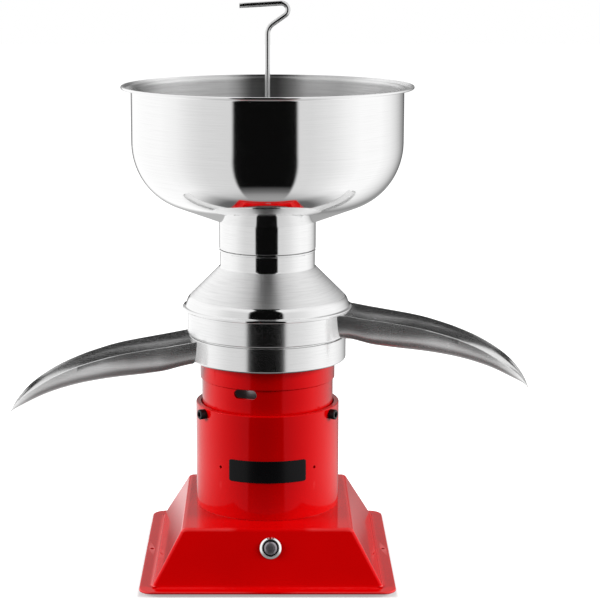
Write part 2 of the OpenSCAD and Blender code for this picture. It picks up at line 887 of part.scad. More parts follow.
// upright wire, bent to the right and then tightly back to the left;
// the path is worked out as [x, z]
module tap_handle() {
    bend1_z = 529.6;
    bend1_r = 12;
    bend1 = 55;
    straight = 14.5;
    bend2_r = 6.5;
    bend2 = 148.4;
    end_length = 40.5;
    bend1_end = [bend1_r - bend1_r * cos(bend1), bend1_z + bend1_r * sin(bend1)];
    bend2_start = bend1_end + straight * [sin(bend1), cos(bend1)];
    centre2 = bend2_start + bend2_r * [-cos(bend1), sin(bend1)];
    heading = 90 - bend1 + bend2;
    bend2_end = centre2 + bend2_r * [sin(heading), -cos(heading)];
    path = concat(
        [[0, 358.02], [0, 400], [0, 450], [0, 500]],
        arc(bend1_r, bend1_z, bend1_r, 180, 180 - bend1, 7),
        arc(centre2[0], centre2[1], bend2_r, -bend1, bend2 - bend1, 14),
        [bend2_end + end_length * [cos(heading), sin(heading)]]);
    color("silver") sweep([for (p = path) [p[0], 0, p[1]]], wire_r, 16, [0, 1, 0]);
}

base_hood();
base_plate();
rubber_feet();
foot_screws();
column();
column_bolts();
column_nuts();
name_plate();
motor_housing();
housing_screws();
housing_bushes();
motor_upper_shield();
motor_lower_shield();
stator_core();
field_windings();
through_bolts();
motor_mount_screws();
motor_isolator();
upper_bearing();
lower_bearing();
brush_holders();
brush_springs();
carbon_brushes();
switch_body();
switch_nut();
terminal_block();
wiring();
cord_gland();
power_cord();
mains_plug();
motor_shaft();
armature_core();
armature_winding();
commutator();
cooling_fan();
drum_base();
disc_carrier();
drum_discs();
top_disc();
drum_cover();
drum_seal();
drum_nut();
cream_screw();
power_button();
skim_tray();
skim_spout();
cream_tray();
cream_spout();
receiver_cover();
float_chamber();
float();
milk_bowl();
tap_seat();
tap_plug();
tap_handle();
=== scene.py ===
"""A table-top electric cream separator.

It stands on the floor z = 0 with its vertical axis on Z. The front, with the blank plate and
the switch, faces -Y; the mains lead leaves at the back, +Y. The skim spout points to -X and
the cream spout to +X. Lengths are in millimetres until mesh_object() turns them into metres;
shaders, lights and the camera are in metres.
"""
import json
import bmesh
import bpy
from math import acos, asin, atan, atan2, copysign, cos, degrees, floor, hypot, pi, radians
from math import sin, sqrt, tan
from mathutils import Matrix, Vector


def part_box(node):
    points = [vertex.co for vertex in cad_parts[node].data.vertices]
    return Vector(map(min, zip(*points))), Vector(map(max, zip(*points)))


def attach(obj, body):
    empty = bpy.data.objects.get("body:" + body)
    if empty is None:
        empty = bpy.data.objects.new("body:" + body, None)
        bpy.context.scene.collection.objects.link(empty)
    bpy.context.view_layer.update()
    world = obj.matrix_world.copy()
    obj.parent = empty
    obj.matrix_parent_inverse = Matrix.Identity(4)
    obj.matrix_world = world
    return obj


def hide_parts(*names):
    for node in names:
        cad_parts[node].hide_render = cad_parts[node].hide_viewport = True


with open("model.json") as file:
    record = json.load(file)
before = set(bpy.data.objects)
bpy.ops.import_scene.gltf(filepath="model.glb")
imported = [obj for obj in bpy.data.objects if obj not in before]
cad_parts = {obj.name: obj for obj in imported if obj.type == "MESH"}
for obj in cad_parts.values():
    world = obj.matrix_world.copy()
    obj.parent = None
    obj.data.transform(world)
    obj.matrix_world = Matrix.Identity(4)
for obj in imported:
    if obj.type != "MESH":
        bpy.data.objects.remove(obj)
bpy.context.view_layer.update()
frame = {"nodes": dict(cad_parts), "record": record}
MM = 0.001


def cad_box(node):
    """A CAD node's box in millimetres: (low, high)."""
    low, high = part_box(node)
    return low / MM, high / MM


# --------------------------------------------------------------------------
# outlines
# --------------------------------------------------------------------------
def rounded(points, closed=False, steps=5, hold=0.35):
    """Rounds a polyline of (a, b[, radius]) points and adds holding points beside each bend."""
    corners = [Vector(p[:2]) for p in points]
    outline = []

    def add(point):
        if not outline or (outline[-1] - point).length > 1e-4:
            outline.append(point)

    for i, corner in enumerate(corners):
        radius = points[i][2] if len(points[i]) > 2 else 0
        if radius <= 0 or (not closed and i in (0, len(corners) - 1)):
            add(corner)
            continue
        back = corners[i - 1] - corner
        ahead = corners[(i + 1) % len(corners)] - corner
        limit = 0.48 * min(back.length, ahead.length)
        back.normalize()
        ahead.normalize()
        angle = acos(max(-1, min(1, back.dot(ahead))))
        if angle > pi - 0.02:
            add(corner)
            continue
        setback = min(radius / tan(angle / 2), limit)
        radius = setback * tan(angle / 2)
        centre = corner + (back + ahead).normalized() * (radius / sin(angle / 2))
        start = atan2(*(corner + back * setback - centre).yx)
        end = atan2(*(corner + ahead * setback - centre).yx)
        swing = (end - start + pi) % (2 * pi) - pi
        count = max(2, int(steps * abs(swing) / (pi / 2) + 0.5) + 1)
        for j in range(count + 1):
            turn = start + swing * j / count
            add(centre + Vector((cos(turn), sin(turn))) * radius)

    held = []
    for i, start in enumerate(outline):
        held.append(start)
        if not closed and i == len(outline) - 1:
            break
        end = outline[(i + 1) % len(outline)]
        length = (end - start).length
        if length > 4 * hold:
            direction = (end - start).normalized()
            held.append(start + direction * hold)
            if length > 30:
                count = int(length / 15)
                held += [start + direction * (length * j / count) for j in range(1, count)]
            held.append(end - direction * hold)
    return [(p.x, p.y) for p in held]


def arc_points(centre_x, centre_y, radius, start, end, steps):
    """Points on an arc between two angles in degrees."""
    angles = [radians(start + (end - start) * i / steps) for i in range(steps + 1)]
    return [(centre_x + radius * cos(a), centre_y + radius * sin(a)) for a in angles]


def full_circle(count):
    """Evenly spaced angles once round."""
    return [2 * pi * i / count for i in range(count)]


def hex_radius(angle, corner_radius):
    """Radius of a hexagon in the direction of an angle."""
    return corner_radius * cos(pi / 6) / cos(angle % (pi / 3) - pi / 6)


def signed_power(value, power):
    """Raises the size of a value to a power and keeps its sign."""
    return copysign(abs(value) ** power, value)


# --------------------------------------------------------------------------
# geometry: every function returns (vertices, faces)
# --------------------------------------------------------------------------
def turned(profile, closed=True, sides=192):
    """Turns a profile of (radius, z) about Z."""
    verts, faces, rings = [], [], []
    for radius, z in profile:
        first = len(verts)
        if radius < 1e-6:
            verts.append((0, 0, z))
            rings.append([first] * sides)
        else:
            angles = [radians(360.0 * j / sides) for j in range(sides)]
            verts += [(radius * cos(a), radius * sin(a), z) for a in angles]
            rings.append(list(range(first, first + sides)))
    for i in range(len(rings) if closed else len(rings) - 1):
        near, far = rings[i], rings[(i + 1) % len(rings)]
        for j in range(sides):
            k = (j + 1) % sides
            face = list(dict.fromkeys((near[j], near[k], far[k], far[j])))
            if len(face) > 2:
                faces.append(face)
    return verts, faces


def loft(loops, wrap=False, cap=False):
    """Quads between closed loops of equal length; wrap joins the last loop to the first."""
    size, count = len(loops[0]), len(loops)
    verts = [p for loop in loops for p in loop]
    faces = []
    for i in range(count if wrap else count - 1):
        near, far = i * size, ((i + 1) % count) * size
        for j in range(size):
            k = (j + 1) % size
            faces.append((near + j, near + k, far + k, far + j))
    if cap:
        faces.append(tuple(range(size - 1, -1, -1)))
        faces.append(tuple(range((count - 1) * size, count * size)))
    return verts, faces


def sweep(path, radius, sides=24, up=(0, 0, 1), round_end=0.0):
    """A round bar along a path, its ends rounded by round_end."""
    centres = [Vector(p) for p in path]
    radii = [radius] * len(centres)
    if round_end > 0:
        def rounded_tip(tip, inner):
            outward = (tip - inner).normalized()
            return [(tip - outward * round_end * (1 - sin(a)), radius - round_end + round_end * cos(a))
                    for a in [pi / 2 * i / 4 for i in range(5)]]
        head = rounded_tip(centres[0], centres[1])[::-1]
        tail = rounded_tip(centres[-1], centres[-2])
        middle = [(p, radius) for p in centres[1:-1]]
        centres, radii = zip(*(head + middle + tail))
    last = len(centres) - 1
    first_tangent = (centres[1] - centres[0]).normalized()
    side = first_tangent.cross(Vector(up))
    side.normalize()
    loops = []
    for i, centre in enumerate(centres):
        tangent = centres[min(i + 1, last)] - centres[max(i - 1, 0)]
        tangent = tangent.normalized() if tangent.length > 1e-9 else first_tangent
        side = (side - tangent * side.dot(tangent)).normalized()
        other = side.cross(tangent)
        loops.append([centre + radii[i] * (cos(a) * side + sin(a) * other)
                      for a in full_circle(sides)])
    return loft(loops, cap=True)


def rod(start, end, radius, sides=48):
    """A straight cylinder between two points."""
    start, end = Vector(start), Vector(end)
    return sweep([start, start.lerp(end, 0.5), end], radius, sides, up=(0.13, 0.37, 0.92))


def moved(geometry, place):
    verts, faces = geometry
    return [place @ Vector(v) for v in verts], faces


def joined(geometries):
    verts, faces = [], []
    for more_verts, more_faces in geometries:
        first = len(verts)
        verts += list(more_verts)
        faces += [tuple(i + first for i in face) for face in more_faces]
    return verts, faces


# --------------------------------------------------------------------------
# objects
# --------------------------------------------------------------------------
def add_object(name, data):
    thing = bpy.data.objects.new(name, data)
    bpy.context.scene.collection.objects.link(thing)
    return thing


def mesh_object(name, geometry, weld=True):
    """Makes an object in metres from geometry in millimetres."""
    verts, faces = geometry
    mesh = bpy.data.meshes.new(name)
    mesh.from_pydata([Vector(v) * MM for v in verts], [], faces)
    if weld:
        mesh.validate()
    bm = bmesh.new()
    bm.from_mesh(mesh)
    if weld:
        bmesh.ops.remove_doubles(bm, verts=bm.verts, dist=1e-7)
    bmesh.ops.recalc_face_normals(bm, faces=bm.faces)
    bm.to_mesh(mesh)
    bm.free()
    return add_object(name, mesh)


def dress(mesh, materials, sharp_angle):
    """Smooth shading with sharp edges above an angle, and the material slots."""
    mesh.polygons.foreach_set("use_smooth", [True] * len(mesh.polygons))
    mesh.set_sharp_from_angle(angle=radians(sharp_angle))
    mesh.materials.clear()
    for material in materials:
        mesh.materials.append(material)


def make(name, geometry, material, body, node, sharp_angle=34):
    """A finished piece that rides on a body and takes the place of a CAD node, if one is given."""
    piece = mesh_object(name, geometry)
    dress(piece.data, [material], sharp_angle)
    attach(piece, body)
    if node:
        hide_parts(node)
    return piece


def lathe(name, outline, material, body, node, slot, bend_steps=5, hold=0.35, closed=True,
          sides=192, place=None):
    """A turned piece from an outline of (radius, z, bend radius)."""
    geometry = turned(rounded(outline, closed, bend_steps, hold), closed, sides)
    if place is not None:
        geometry = moved(geometry, place)
    return make(name, geometry, material, body, node)


def cut(piece, geometries):
    """Subtracts closed geometries from a piece and keeps the result as plain mesh data."""
    cutters = [mesh_object("tmp", g, weld=False) for g in geometries]
    modifiers = []
    for cutter in cutters:
        modifier = piece.modifiers.new("cut", "BOOLEAN")
        modifier.object = cutter
        modifier.operation = "DIFFERENCE"
        modifier.solver = "EXACT"
        modifiers.append(modifier)
    bpy.context.view_layer.update()
    depsgraph = bpy.context.evaluated_depsgraph_get()
    mesh = bpy.data.meshes.new_from_object(piece.evaluated_get(depsgraph))
    for modifier in modifiers:
        piece.modifiers.remove(modifier)
    materials = list(piece.data.materials)
    piece.data = mesh
    dress(mesh, materials, sharp_angle=34)
    for cutter in cutters:
        bpy.data.objects.remove(cutter)


# --------------------------------------------------------------------------
# shader building
# --------------------------------------------------------------------------
class Nodes:
    """Builds a node tree. Inputs may be sockets or plain values."""

    def __init__(self, tree):
        self.tree = tree
        tree.nodes.clear()

    def node(self, kind, **settings):
        node = self.tree.nodes.new(kind)
        for name, value in settings.items():
            setattr(node, name, value)
        return node

    def put(self, value, socket):
        if hasattr(value, "is_output"):
            self.tree.links.new(value, socket)
        else:
            socket.default_value = value

    def fill(self, node, **values):
        """Sets inputs by name, underscores standing for spaces; returns the first output."""
        for name, value in values.items():
            self.put(value, node.inputs[name.replace("_", " ")])
        return node.outputs[0]

    def math(self, operation, a, b=0.0, clamp=False):
        node = self.node("ShaderNodeMath", operation=operation, use_clamp=clamp)
        for value, socket in zip((a, b, 0.0), node.inputs):
            self.put(value, socket)
        return node.outputs[0]

    def mul(self, a, b, clamp=False):
        return self.math("MULTIPLY", a, b, clamp)

    def add(self, a, b, clamp=False):
        return self.math("ADD", a, b, clamp)

    def sub(self, a, b):
        return self.math("SUBTRACT", a, b)

    def div(self, a, b):
        return self.math("DIVIDE", a, b)

    def length(self, first, *others):
        """Root of the sum of squares."""
        total = self.mul(first, first)
        for other in others:
            total = self.add(total, self.mul(other, other))
        return self.math("SQRT", total)

    def swing(self, noise, amount):
        """A noise centred on zero and scaled."""
        return self.mul(self.sub(noise, 0.5), amount)

    def blend(self, a, b, share):
        """Weighted sum: a share of a, the rest b."""
        return self.add(self.mul(a, share), self.mul(b, 1 - share))

    def unit(self, value):
        """Maps -1..1 to 0..1."""
        return self.add(self.mul(value, 0.5), 0.5)

    def separate(self, vector):
        node = self.node("ShaderNodeSeparateXYZ")
        self.put(vector, node.inputs[0])
        return node.outputs

    def noise(self, vector, scale, detail=3, rough=0.55, distort=0.0):
        return self.fill(self.node("ShaderNodeTexNoise"), Vector=vector, Scale=scale,
                         Detail=detail, Roughness=rough, Distortion=distort)

    def stretched(self, vector, scale):
        return self.fill(self.node("ShaderNodeMapping"), Vector=vector, Scale=scale)

    def ramp(self, factor, stops):
        """Colour ramp with stops of (position, grey or colour)."""
        node = self.node("ShaderNodeValToRGB")
        self.put(factor, node.inputs[0])
        elements = node.color_ramp.elements
        while len(elements) < len(stops):
            elements.new(0.5)
        for element, (position, colour) in zip(elements, stops):
            element.position = position
            grey = isinstance(colour, (int, float))
            element.color = (colour, colour, colour, 1) if grey else (*colour, 1)
        return node.outputs[0]

    def mix(self, factor, a, b, mode="MIX"):
        node = self.node("ShaderNodeMix", data_type="RGBA", blend_type=mode)
        self.put(factor, node.inputs[0])
        for colour, socket in ((a, node.inputs[6]), (b, node.inputs[7])):
            self.put(colour if hasattr(colour, "is_output") else (*colour, 1), socket)
        return node.outputs[2]

    def mix_shader(self, factor, a, b):
        node = self.node("ShaderNodeMixShader")
        for value, socket in zip((factor, a, b), node.inputs):
            self.put(value, socket)
        return node.outputs[0]

    def emission(self, **values):
        return self.fill(self.node("ShaderNodeEmission"), **values)

    def bump(self, height, strength, distance, base=None):
        node = self.node("ShaderNodeBump")
        if base is not None:
            self.put(base, node.inputs["Normal"])
        return self.fill(node, Height=height, Strength=strength, Distance=distance)

    def convex_edge_mask(self, low, high):
        """Mask that rises on convex edges."""
        geometry = self.node("ShaderNodeNewGeometry")
        return self.ramp(geometry.outputs["Pointiness"], [(low, 0.0), (high, 1.0)])


class Material(Nodes):
    """A material with object coordinates and, unless told otherwise, a principled shader."""

    def __init__(self, name, principled=True):
        self.material = bpy.data.materials.new(name)
        self.material.use_nodes = True
        super().__init__(self.material.node_tree)
        self.output = self.node("ShaderNodeOutputMaterial")
        if principled:
            self.principled = self.node("ShaderNodeBsdfPrincipled")
            self.show(self.principled.outputs[0])
        self.coords = self.node("ShaderNodeTexCoord").outputs["Object"]

    def show(self, shader):
        self.put(shader, self.output.inputs[0])

    def finish(self, **values):
        self.fill(self.principled, **values)


def tinted(colour, factor):
    return tuple(min(1, c * factor) for c in colour)


# --------------------------------------------------------------------------
# materials
# --------------------------------------------------------------------------
def stainless(name, tone, rough, brush, spread, tint=(1, 1, 1), fineness=9000, smear=0.0,
              tone_range=0.06, painted_reflection_fans=None):
    """Lathe-turned stainless steel.

    brush is the bump of the circumferential lines, spread the variation of roughness, smear
    the anisotropy, and painted_reflection_fans a ramp of painted reflections round the axis.
    """
    mat = Material(name)
    x, y, z = mat.separate(mat.coords)
    angle = mat.math("ARCTAN2", y, x)
    radius = mat.length(x, y)

    def lines(along, across, detail, rough):
        vector = mat.node("ShaderNodeCombineXYZ")
        mat.fill(vector, X=mat.mul(angle, along), Y=mat.mul(radius, across), Z=mat.mul(z, across))
        return mat.noise(vector.outputs[0], scale=1.0, detail=detail, rough=rough)

    fine = lines(along=1.6, across=fineness, detail=2, rough=0.6)
    coarse = lines(along=2.2, across=fineness * 0.18, detail=3, rough=0.65)
    blotch = mat.noise(mat.coords, scale=14, detail=3, rough=0.5, distort=0.4)
    streak = mat.blend(fine, coarse, share=0.45)
    roughness = mat.add(rough, mat.swing(streak, amount=spread))
    roughness = mat.add(roughness, mat.swing(blotch, amount=spread * 0.8), clamp=True)
    bright = mat.ramp(coarse, [(0.25, tone * (1 - tone_range)), (0.5, tone),
                               (0.75, min(1, tone * (1 + tone_range / 2)))])
    # painted reflections: the colour turns brighter and darker round the axis
    if painted_reflection_fans:
        bright = mat.mul(bright, mat.ramp(mat.div(angle, pi), painted_reflection_fans))
    normal = mat.bump(streak, strength=brush, distance=0.00003)
    normal = mat.bump(blotch, strength=0.15, distance=0.00012, base=normal)
    tangent = mat.node("ShaderNodeTangent", direction_type="RADIAL", axis="Z")
    mat.finish(Base_Color=mat.mix(1, bright, tint, mode="MULTIPLY"), Metallic=1.0,
               Roughness=roughness, Normal=normal, Tangent=tangent.outputs[0],
               Anisotropic=smear, Anisotropic_Rotation=0.25)
    return mat.material


def satin(name, metal):
    """Stainless steel brushed along X, for the spouts."""
    tone = 0.82
    mat = Material(name)
    fine = mat.noise(mat.stretched(mat.coords, scale=(22, 2600, 2600)), scale=1.0, rough=0.6)
    coarse = mat.noise(mat.stretched(mat.coords, scale=(9, 420, 420)), scale=1.0, rough=0.6)
    blotch = mat.noise(mat.coords, scale=18, distort=0.5)
    streak = mat.blend(fine, coarse, share=0.5)
    roughness = mat.add(0.26, mat.swing(streak, amount=0.12))
    roughness = mat.add(roughness, mat.swing(blotch, amount=0.05), clamp=True)
    normal = mat.bump(streak, strength=0.03, distance=0.00004)
    normal = mat.bump(blotch, strength=0.05, distance=0.0001, base=normal)
    bright = mat.ramp(streak, [(0.3, tone * 0.90), (0.5, tone), (0.7, tone * 1.08)])
    mat.finish(Base_Color=bright, Metallic=metal, Roughness=roughness, Normal=normal)
    return mat.material


def paint(name, colour, rough):
    """Glossy enamel: orange peel, dust nibs, and a painted highlight on the folds of the base."""
    mat = Material(name)
    peel = mat.noise(mat.coords, scale=420, detail=2, rough=0.5)
    wave = mat.noise(mat.coords, scale=26, detail=2, rough=0.5)
    cells = mat.fill(mat.node("ShaderNodeTexVoronoi", feature="F1"), Vector=mat.coords, Scale=210)
    patches = mat.noise(mat.coords, scale=60, detail=4, rough=0.6)
    nibs = mat.mul(mat.ramp(cells, [(0.0, 1.0), (0.055, 0.0)]),
                   mat.ramp(patches, [(0.58, 0.0), (0.7, 1.0)]))
    tone = mat.ramp(mat.noise(mat.coords, scale=9, rough=0.5),
                    [(0.3, tinted(colour, 0.93)), (0.7, tinted(colour, 1.05))])
    roughness = mat.add(rough, mat.mul(mat.noise(mat.coords, scale=35, rough=0.6), 0.06))
    normal = mat.bump(peel, strength=0.06, distance=0.00006)
    normal = mat.bump(wave, strength=0.10, distance=0.0006, base=normal)
    normal = mat.bump(nibs, strength=0.35, distance=0.00008, base=normal)

    # painted highlight: a paler red on the convex folds, only on low edges (z under about 92 mm), and
    # not round the switch
    x, _, z = mat.separate(mat.coords)
    switch_x, switch_z = 0.003, 0.040
    from_switch = mat.length(mat.sub(x, switch_x), mat.sub(z, switch_z))
    away = mat.ramp(mat.mul(from_switch, 10.0), [(0.36, 0.0), (0.44, 1.0)])
    low = mat.ramp(mat.mul(z, 5.0), [(0.45, 1.0), (0.47, 0.0)])
    fold_highlight = mat.mul(mat.mul(away, low), mat.convex_edge_mask(0.508, 0.545))
    # the painted highlight: folds take a paler red
    tone = mat.mix(mat.mul(fold_highlight, 0.8), tone, (0.95, 0.16, 0.16))
    mat.finish(Base_Color=tone, Roughness=roughness, Normal=normal, IOR=1.55,
               Specular_IOR_Level=1.0, Specular_Tint=(1.0, 0.06, 0.08, 1))

    # steep reflections in steel closer than about 0.25 m show a dim grey instead of red
    light_path = mat.node("ShaderNodeLightPath").outputs
    incoming = mat.node("ShaderNodeNewGeometry").outputs["Incoming"]
    steep = mat.ramp(mat.separate(incoming)[2], [(0.28, 0.0), (0.40, 1.0)])
    near = mat.ramp(light_path["Ray Length"], [(0.235, 1.0), (0.262, 0.0)])
    close = mat.mul(light_path["Is Glossy Ray"], mat.mul(steep, near))
    dim = mat.emission(Color=(0.07, 0.065, 0.065, 1))
    mat.show(mat.mix_shader(close, mat.principled.outputs[0], dim))
    mat.material.cycles.emission_sampling = "NONE"
    return mat.material


def plain(name, colour, rough, metal=0.0, grain=300, tone_range=0.12, bump=0.15, depth=0.00008,
          rough_range=0.12, coat=0.0, wear=None, stretch=None, specular=0.5):
    """An even material with a fine grain.

    depth is the bump distance, wear the colour of bare edges, and stretch an uneven grain
    scale that replaces grain.
    """
    mat = Material(name)
    if stretch is None:
        fine = mat.noise(mat.coords, scale=grain, detail=4, rough=0.6)
    else:
        fine = mat.noise(mat.stretched(mat.coords, stretch), scale=1.0, detail=4, rough=0.6)
    broad = mat.noise(mat.coords, scale=24)
    tone = mat.ramp(mat.blend(fine, broad, share=0.6),
                    [(0.35, tinted(colour, 1 - tone_range)), (0.65, tinted(colour, 1 + tone_range))])
    if wear is not None:
        patches = mat.noise(mat.coords, scale=160, detail=4, rough=0.7)
        worn = mat.mul(mat.convex_edge_mask(0.53, 0.6), mat.ramp(patches, [(0.42, 0.0), (0.6, 1.0)]))
        tone = mat.mix(mat.mul(worn, 0.6), tone, wear)
    mat.finish(Base_Color=tone, Metallic=metal,
               Roughness=mat.add(rough, mat.swing(broad, rough_range), clamp=True),
               Normal=mat.bump(fine, bump, depth), Coat_Weight=coat, Specular_IOR_Level=specular)
    return mat.material


# painted reflections inside the bowl, bright and dark fans: (angle / pi, brightness)
BOWL_PAINTED_REFLECTIONS = [
    (0.0, 0.9), (0.11, 1.0), (0.18, 1.19), (0.232, 1.17), (0.275, 1.0), (0.314, 0.86),
    (0.35, 0.88), (0.40, 0.82), (0.4156, 0.72), (0.447, 0.55), (0.475, 0.25), (0.54, 0.28),
    (0.57, 0.62), (0.603, 0.9), (0.67, 1.0), (0.75, 1.19), (0.795, 1.19), (0.855, 1.0),
    (0.93, 0.55), (0.97, 0.55), (1.0, 0.9)]

RED = paint("red_enamel", colour=(0.62, 0.0006, 0.0010), rough=0.05)
HOUSING_RED = paint("red_enamel_casting", colour=(0.60, 0.0006, 0.0010), rough=0.09)
BOWL_STEEL = stainless("bowl_steel_outside", tone=0.9, rough=0.07, brush=0.16, spread=0.05,
                       smear=0.3)
BOWL_INSIDE = stainless("bowl_steel_inside", tone=0.84, rough=0.40, brush=0.20, spread=0.12,
                        fineness=2600, smear=0.96, tone_range=0.16, painted_reflection_fans=BOWL_PAINTED_REFLECTIONS)
POLISHED = stainless("polished_steel", tone=0.88, rough=0.08, brush=0.18, spread=0.05, smear=0.3)
TRAY_STEEL = stainless("receiver_steel", tone=0.88, rough=0.18, brush=0.06, spread=0.06,
                       fineness=6000, smear=0.3)
CONE_STEEL = stainless("cover_cone_steel", tone=0.86, rough=0.36, brush=0.3, spread=0.10,
                       fineness=4200, smear=0.2, tone_range=0.12)
SPOUT_STEEL = satin("spout_steel", metal=0.86)
GUTTER_STEEL = satin("spout_steel_inside", metal=0.96)
TAP_STEEL = stainless("tap_steel", tone=0.72, rough=0.2, brush=0.4, spread=0.12, fineness=5000)
WIRE = plain("handle_wire", (0.72, 0.72, 0.72), rough=0.16, metal=1.0, tone_range=0.08,
             bump=0.02, depth=0.00001, stretch=(900, 900, 60))
BLACK_OXIDE = plain("black_oxide_steel", (0.016, 0.016, 0.018), rough=0.34, metal=0.6, grain=500,
                    tone_range=0.3, bump=0.2, depth=0.00004, rough_range=0.2,
                    wear=(0.25, 0.25, 0.26))
PLATE_BLACK = plain("blank_plate_black", (0.004, 0.004, 0.0045), rough=0.26, grain=700,
                    tone_range=0.2, bump=0.1, depth=0.00003, rough_range=0.1, specular=0.15)
CHROME = plain("chrome", (0.97, 0.97, 0.97), rough=0.05, metal=1.0, grain=60, tone_range=0.03,
               bump=0.05, depth=0.00002, rough_range=0.06)
BUTTON_METAL = stainless("button_cap_metal", tone=0.48, rough=0.34, brush=1.0, spread=0.2,
                         tint=(0.96, 0.90, 0.98), fineness=900, tone_range=0.5)
RUBBER = plain("rubber_black", (0.02, 0.02, 0.02), rough=0.72, grain=900, tone_range=0.25,
               bump=0.4, depth=0.0001)
SHEATH = plain("cord_sheath", (0.018, 0.018, 0.02), rough=0.42, grain=600, tone_range=0.2,
               bump=0.25, depth=0.00006, rough_range=0.15)
PLASTIC = plain("moulded_black_plastic", (0.022, 0.022, 0.024), rough=0.46, grain=1400,
                tone_range=0.2, bump=0.35, depth=0.00005)
PIN_METAL = plain("plug_pin_metal", (0.78, 0.74, 0.66), rough=0.2, metal=1.0, grain=200,
                  tone_range=0.06, bump=0.1, depth=0.00003, rough_range=0.1)
# painted shade: the switch core is near black to show the deep gap between bezel and cap
SWITCH_GAP_SHADE = plain("switch_gap_painted_shade", (0.006, 0.006, 0.007), rough=0.4, grain=500,
                  tone_range=0.2, bump=0.1, depth=0.00004)

# finish of each material slot on the carried-over CAD nodes
SLOT_FINISH = {
    "zinc_plate": plain("zinc_sheet", (0.55, 0.56, 0.57), rough=0.34, metal=1.0, grain=90,
                        tone_range=0.14, bump=0.1, depth=0.00005, rough_range=0.2),
    "black_rubber": RUBBER,
    "zinc_steel": plain("zinc_fastener", (0.62, 0.62, 0.58), rough=0.28, metal=1.0, grain=260,
                        depth=0.00004, rough_range=0.2, wear=(0.8, 0.8, 0.8)),
    # painted shade: the motor's aluminium is near black so the housing slot looks dark inside
    "cast_aluminium": plain("cast_aluminium", (0.17, 0.17, 0.18), rough=0.6, metal=0.5,
                            grain=480, tone_range=0.16, bump=0.5, depth=0.0002,
                            rough_range=0.16),
    "lamination_steel": plain("lamination_stack", (0.20, 0.21, 0.23), rough=0.4, metal=0.9,
                              tone_range=0.3, bump=0.7, depth=0.0001, stretch=(20, 20, 2200)),
    "copper_wire": plain("enamelled_copper", (0.62, 0.25, 0.10), rough=0.26, metal=0.85,
                         tone_range=0.3, bump=0.8, depth=0.0002, stretch=(60, 60, 1500),
                         coat=0.6),
    "bearing_steel": stainless("ground_steel", tone=0.75, rough=0.14, brush=0.4, spread=0.1,
                               fineness=5000),
    "brass": plain("turned_brass", (0.78, 0.56, 0.22), rough=0.24, metal=1.0, grain=240,
                   bump=0.2, depth=0.00005, rough_range=0.15),
    "carbon": plain("graphite_block", (0.035, 0.035, 0.037), rough=0.62, metal=0.2, grain=900,
                    tone_range=0.3, bump=0.3, depth=0.00006),
    "white_nylon": plain("white_nylon", (0.80, 0.80, 0.77), rough=0.4, grain=500,
                         tone_range=0.05, depth=0.00005),
    "lead_insulation": plain("lead_insulation", (0.28, 0.10, 0.03), rough=0.42, grain=600,
                             tone_range=0.15, depth=0.00005),
    "black_plastic": PLASTIC,
    "drum_aluminium": stainless("turned_aluminium", tone=0.60, rough=0.36, brush=0.5,
                                spread=0.14, fineness=3200, tint=(0.99, 0.995, 1.0)),
    "yellow_seal": plain("yellow_silicone", (0.88, 0.66, 0.06), rough=0.45, grain=350,
                         tone_range=0.06, depth=0.00006),
    "polished_stainless": POLISHED,
    "satin_stainless": TAP_STEEL,
    "bowl_stainless": BOWL_STEEL,
    "wire_stainless": WIRE,
    "chrome_ring": CHROME,
    "button_metal": BUTTON_METAL,
    "black_oxide": BLACK_OXIDE,
    "black_plate": PLATE_BLACK,
    "black_cord": SHEATH,
    "red_paint": RED,
}
for row in frame["record"]["subparts"]:
    cad_mesh = frame["nodes"][row["node"]].data
    cad_mesh.materials.clear()
    cad_mesh.materials.append(SLOT_FINISH[row["material_slot"]])

# --------------------------------------------------------------------------
# base hood: one sheet, lofted through rounded rectangles
# --------------------------------------------------------------------------
hood_low, hood_high = cad_box("base_hood")
FLANGE_X, FLANGE_Y = hood_high.x, hood_high.y       # half sizes of the flange
HOOD_BOTTOM, HOOD_TOP = hood_low.z, hood_high.z
FLANGE_TOP = HOOD_BOTTOM + 2.5
FOOT_X, FOOT_Y = FLANGE_X - 12, FLANGE_Y - 12       # foot of the sloped walls
TOP_X, TOP_Y = 82.5, 96.0                           # half sizes of the flat top
SHEET = 2.0
CORNER_STEPS = 12
EDGE_SHARES = [0.02] + [j / 8 for j in range(1, 8)] + [0.98]    # points along each straight

CORD_X, CORD_Z = -40, 22                            # where the lead leaves the hood
SWITCH_X, SWITCH_Z = 3.0, 40.2
WALL_SLOPE = atan((FOOT_Y - TOP_Y) / (HOOD_TOP - FLANGE_TOP))
SWITCH_Y = -FOOT_Y + (SWITCH_Z - FLANGE_TOP) * tan(WALL_SLOPE)
# the switch's own +Z points out of the sloped front wall
SWITCH_PLACE = (Matrix.Translation((SWITCH_X, SWITCH_Y, SWITCH_Z))
                @ Matrix.Rotation(pi / 2 - WALL_SLOPE, 4, "X"))


def rounded_rect(half_x, half_y, radius, z):
    x, y = half_x - radius, half_y - radius
    points = []
    for centre_x, centre_y, start in ((x, -y, -90), (x, y, 0), (-x, y, 90), (-x, -y, 180)):
        points += arc_points(centre_x, centre_y, radius, start, start + 90, CORNER_STEPS)
    loop = []
    for i, (x, y) in enumerate(points):
        loop.append((x, y, z))
        if i % (CORNER_STEPS + 1) == CORNER_STEPS:
            next_x, next_y = points[(i + 1) % len(points)]
            loop += [(x + (next_x - x) * t, y + (next_y - y) * t, z) for t in EDGE_SHARES]
    return loop


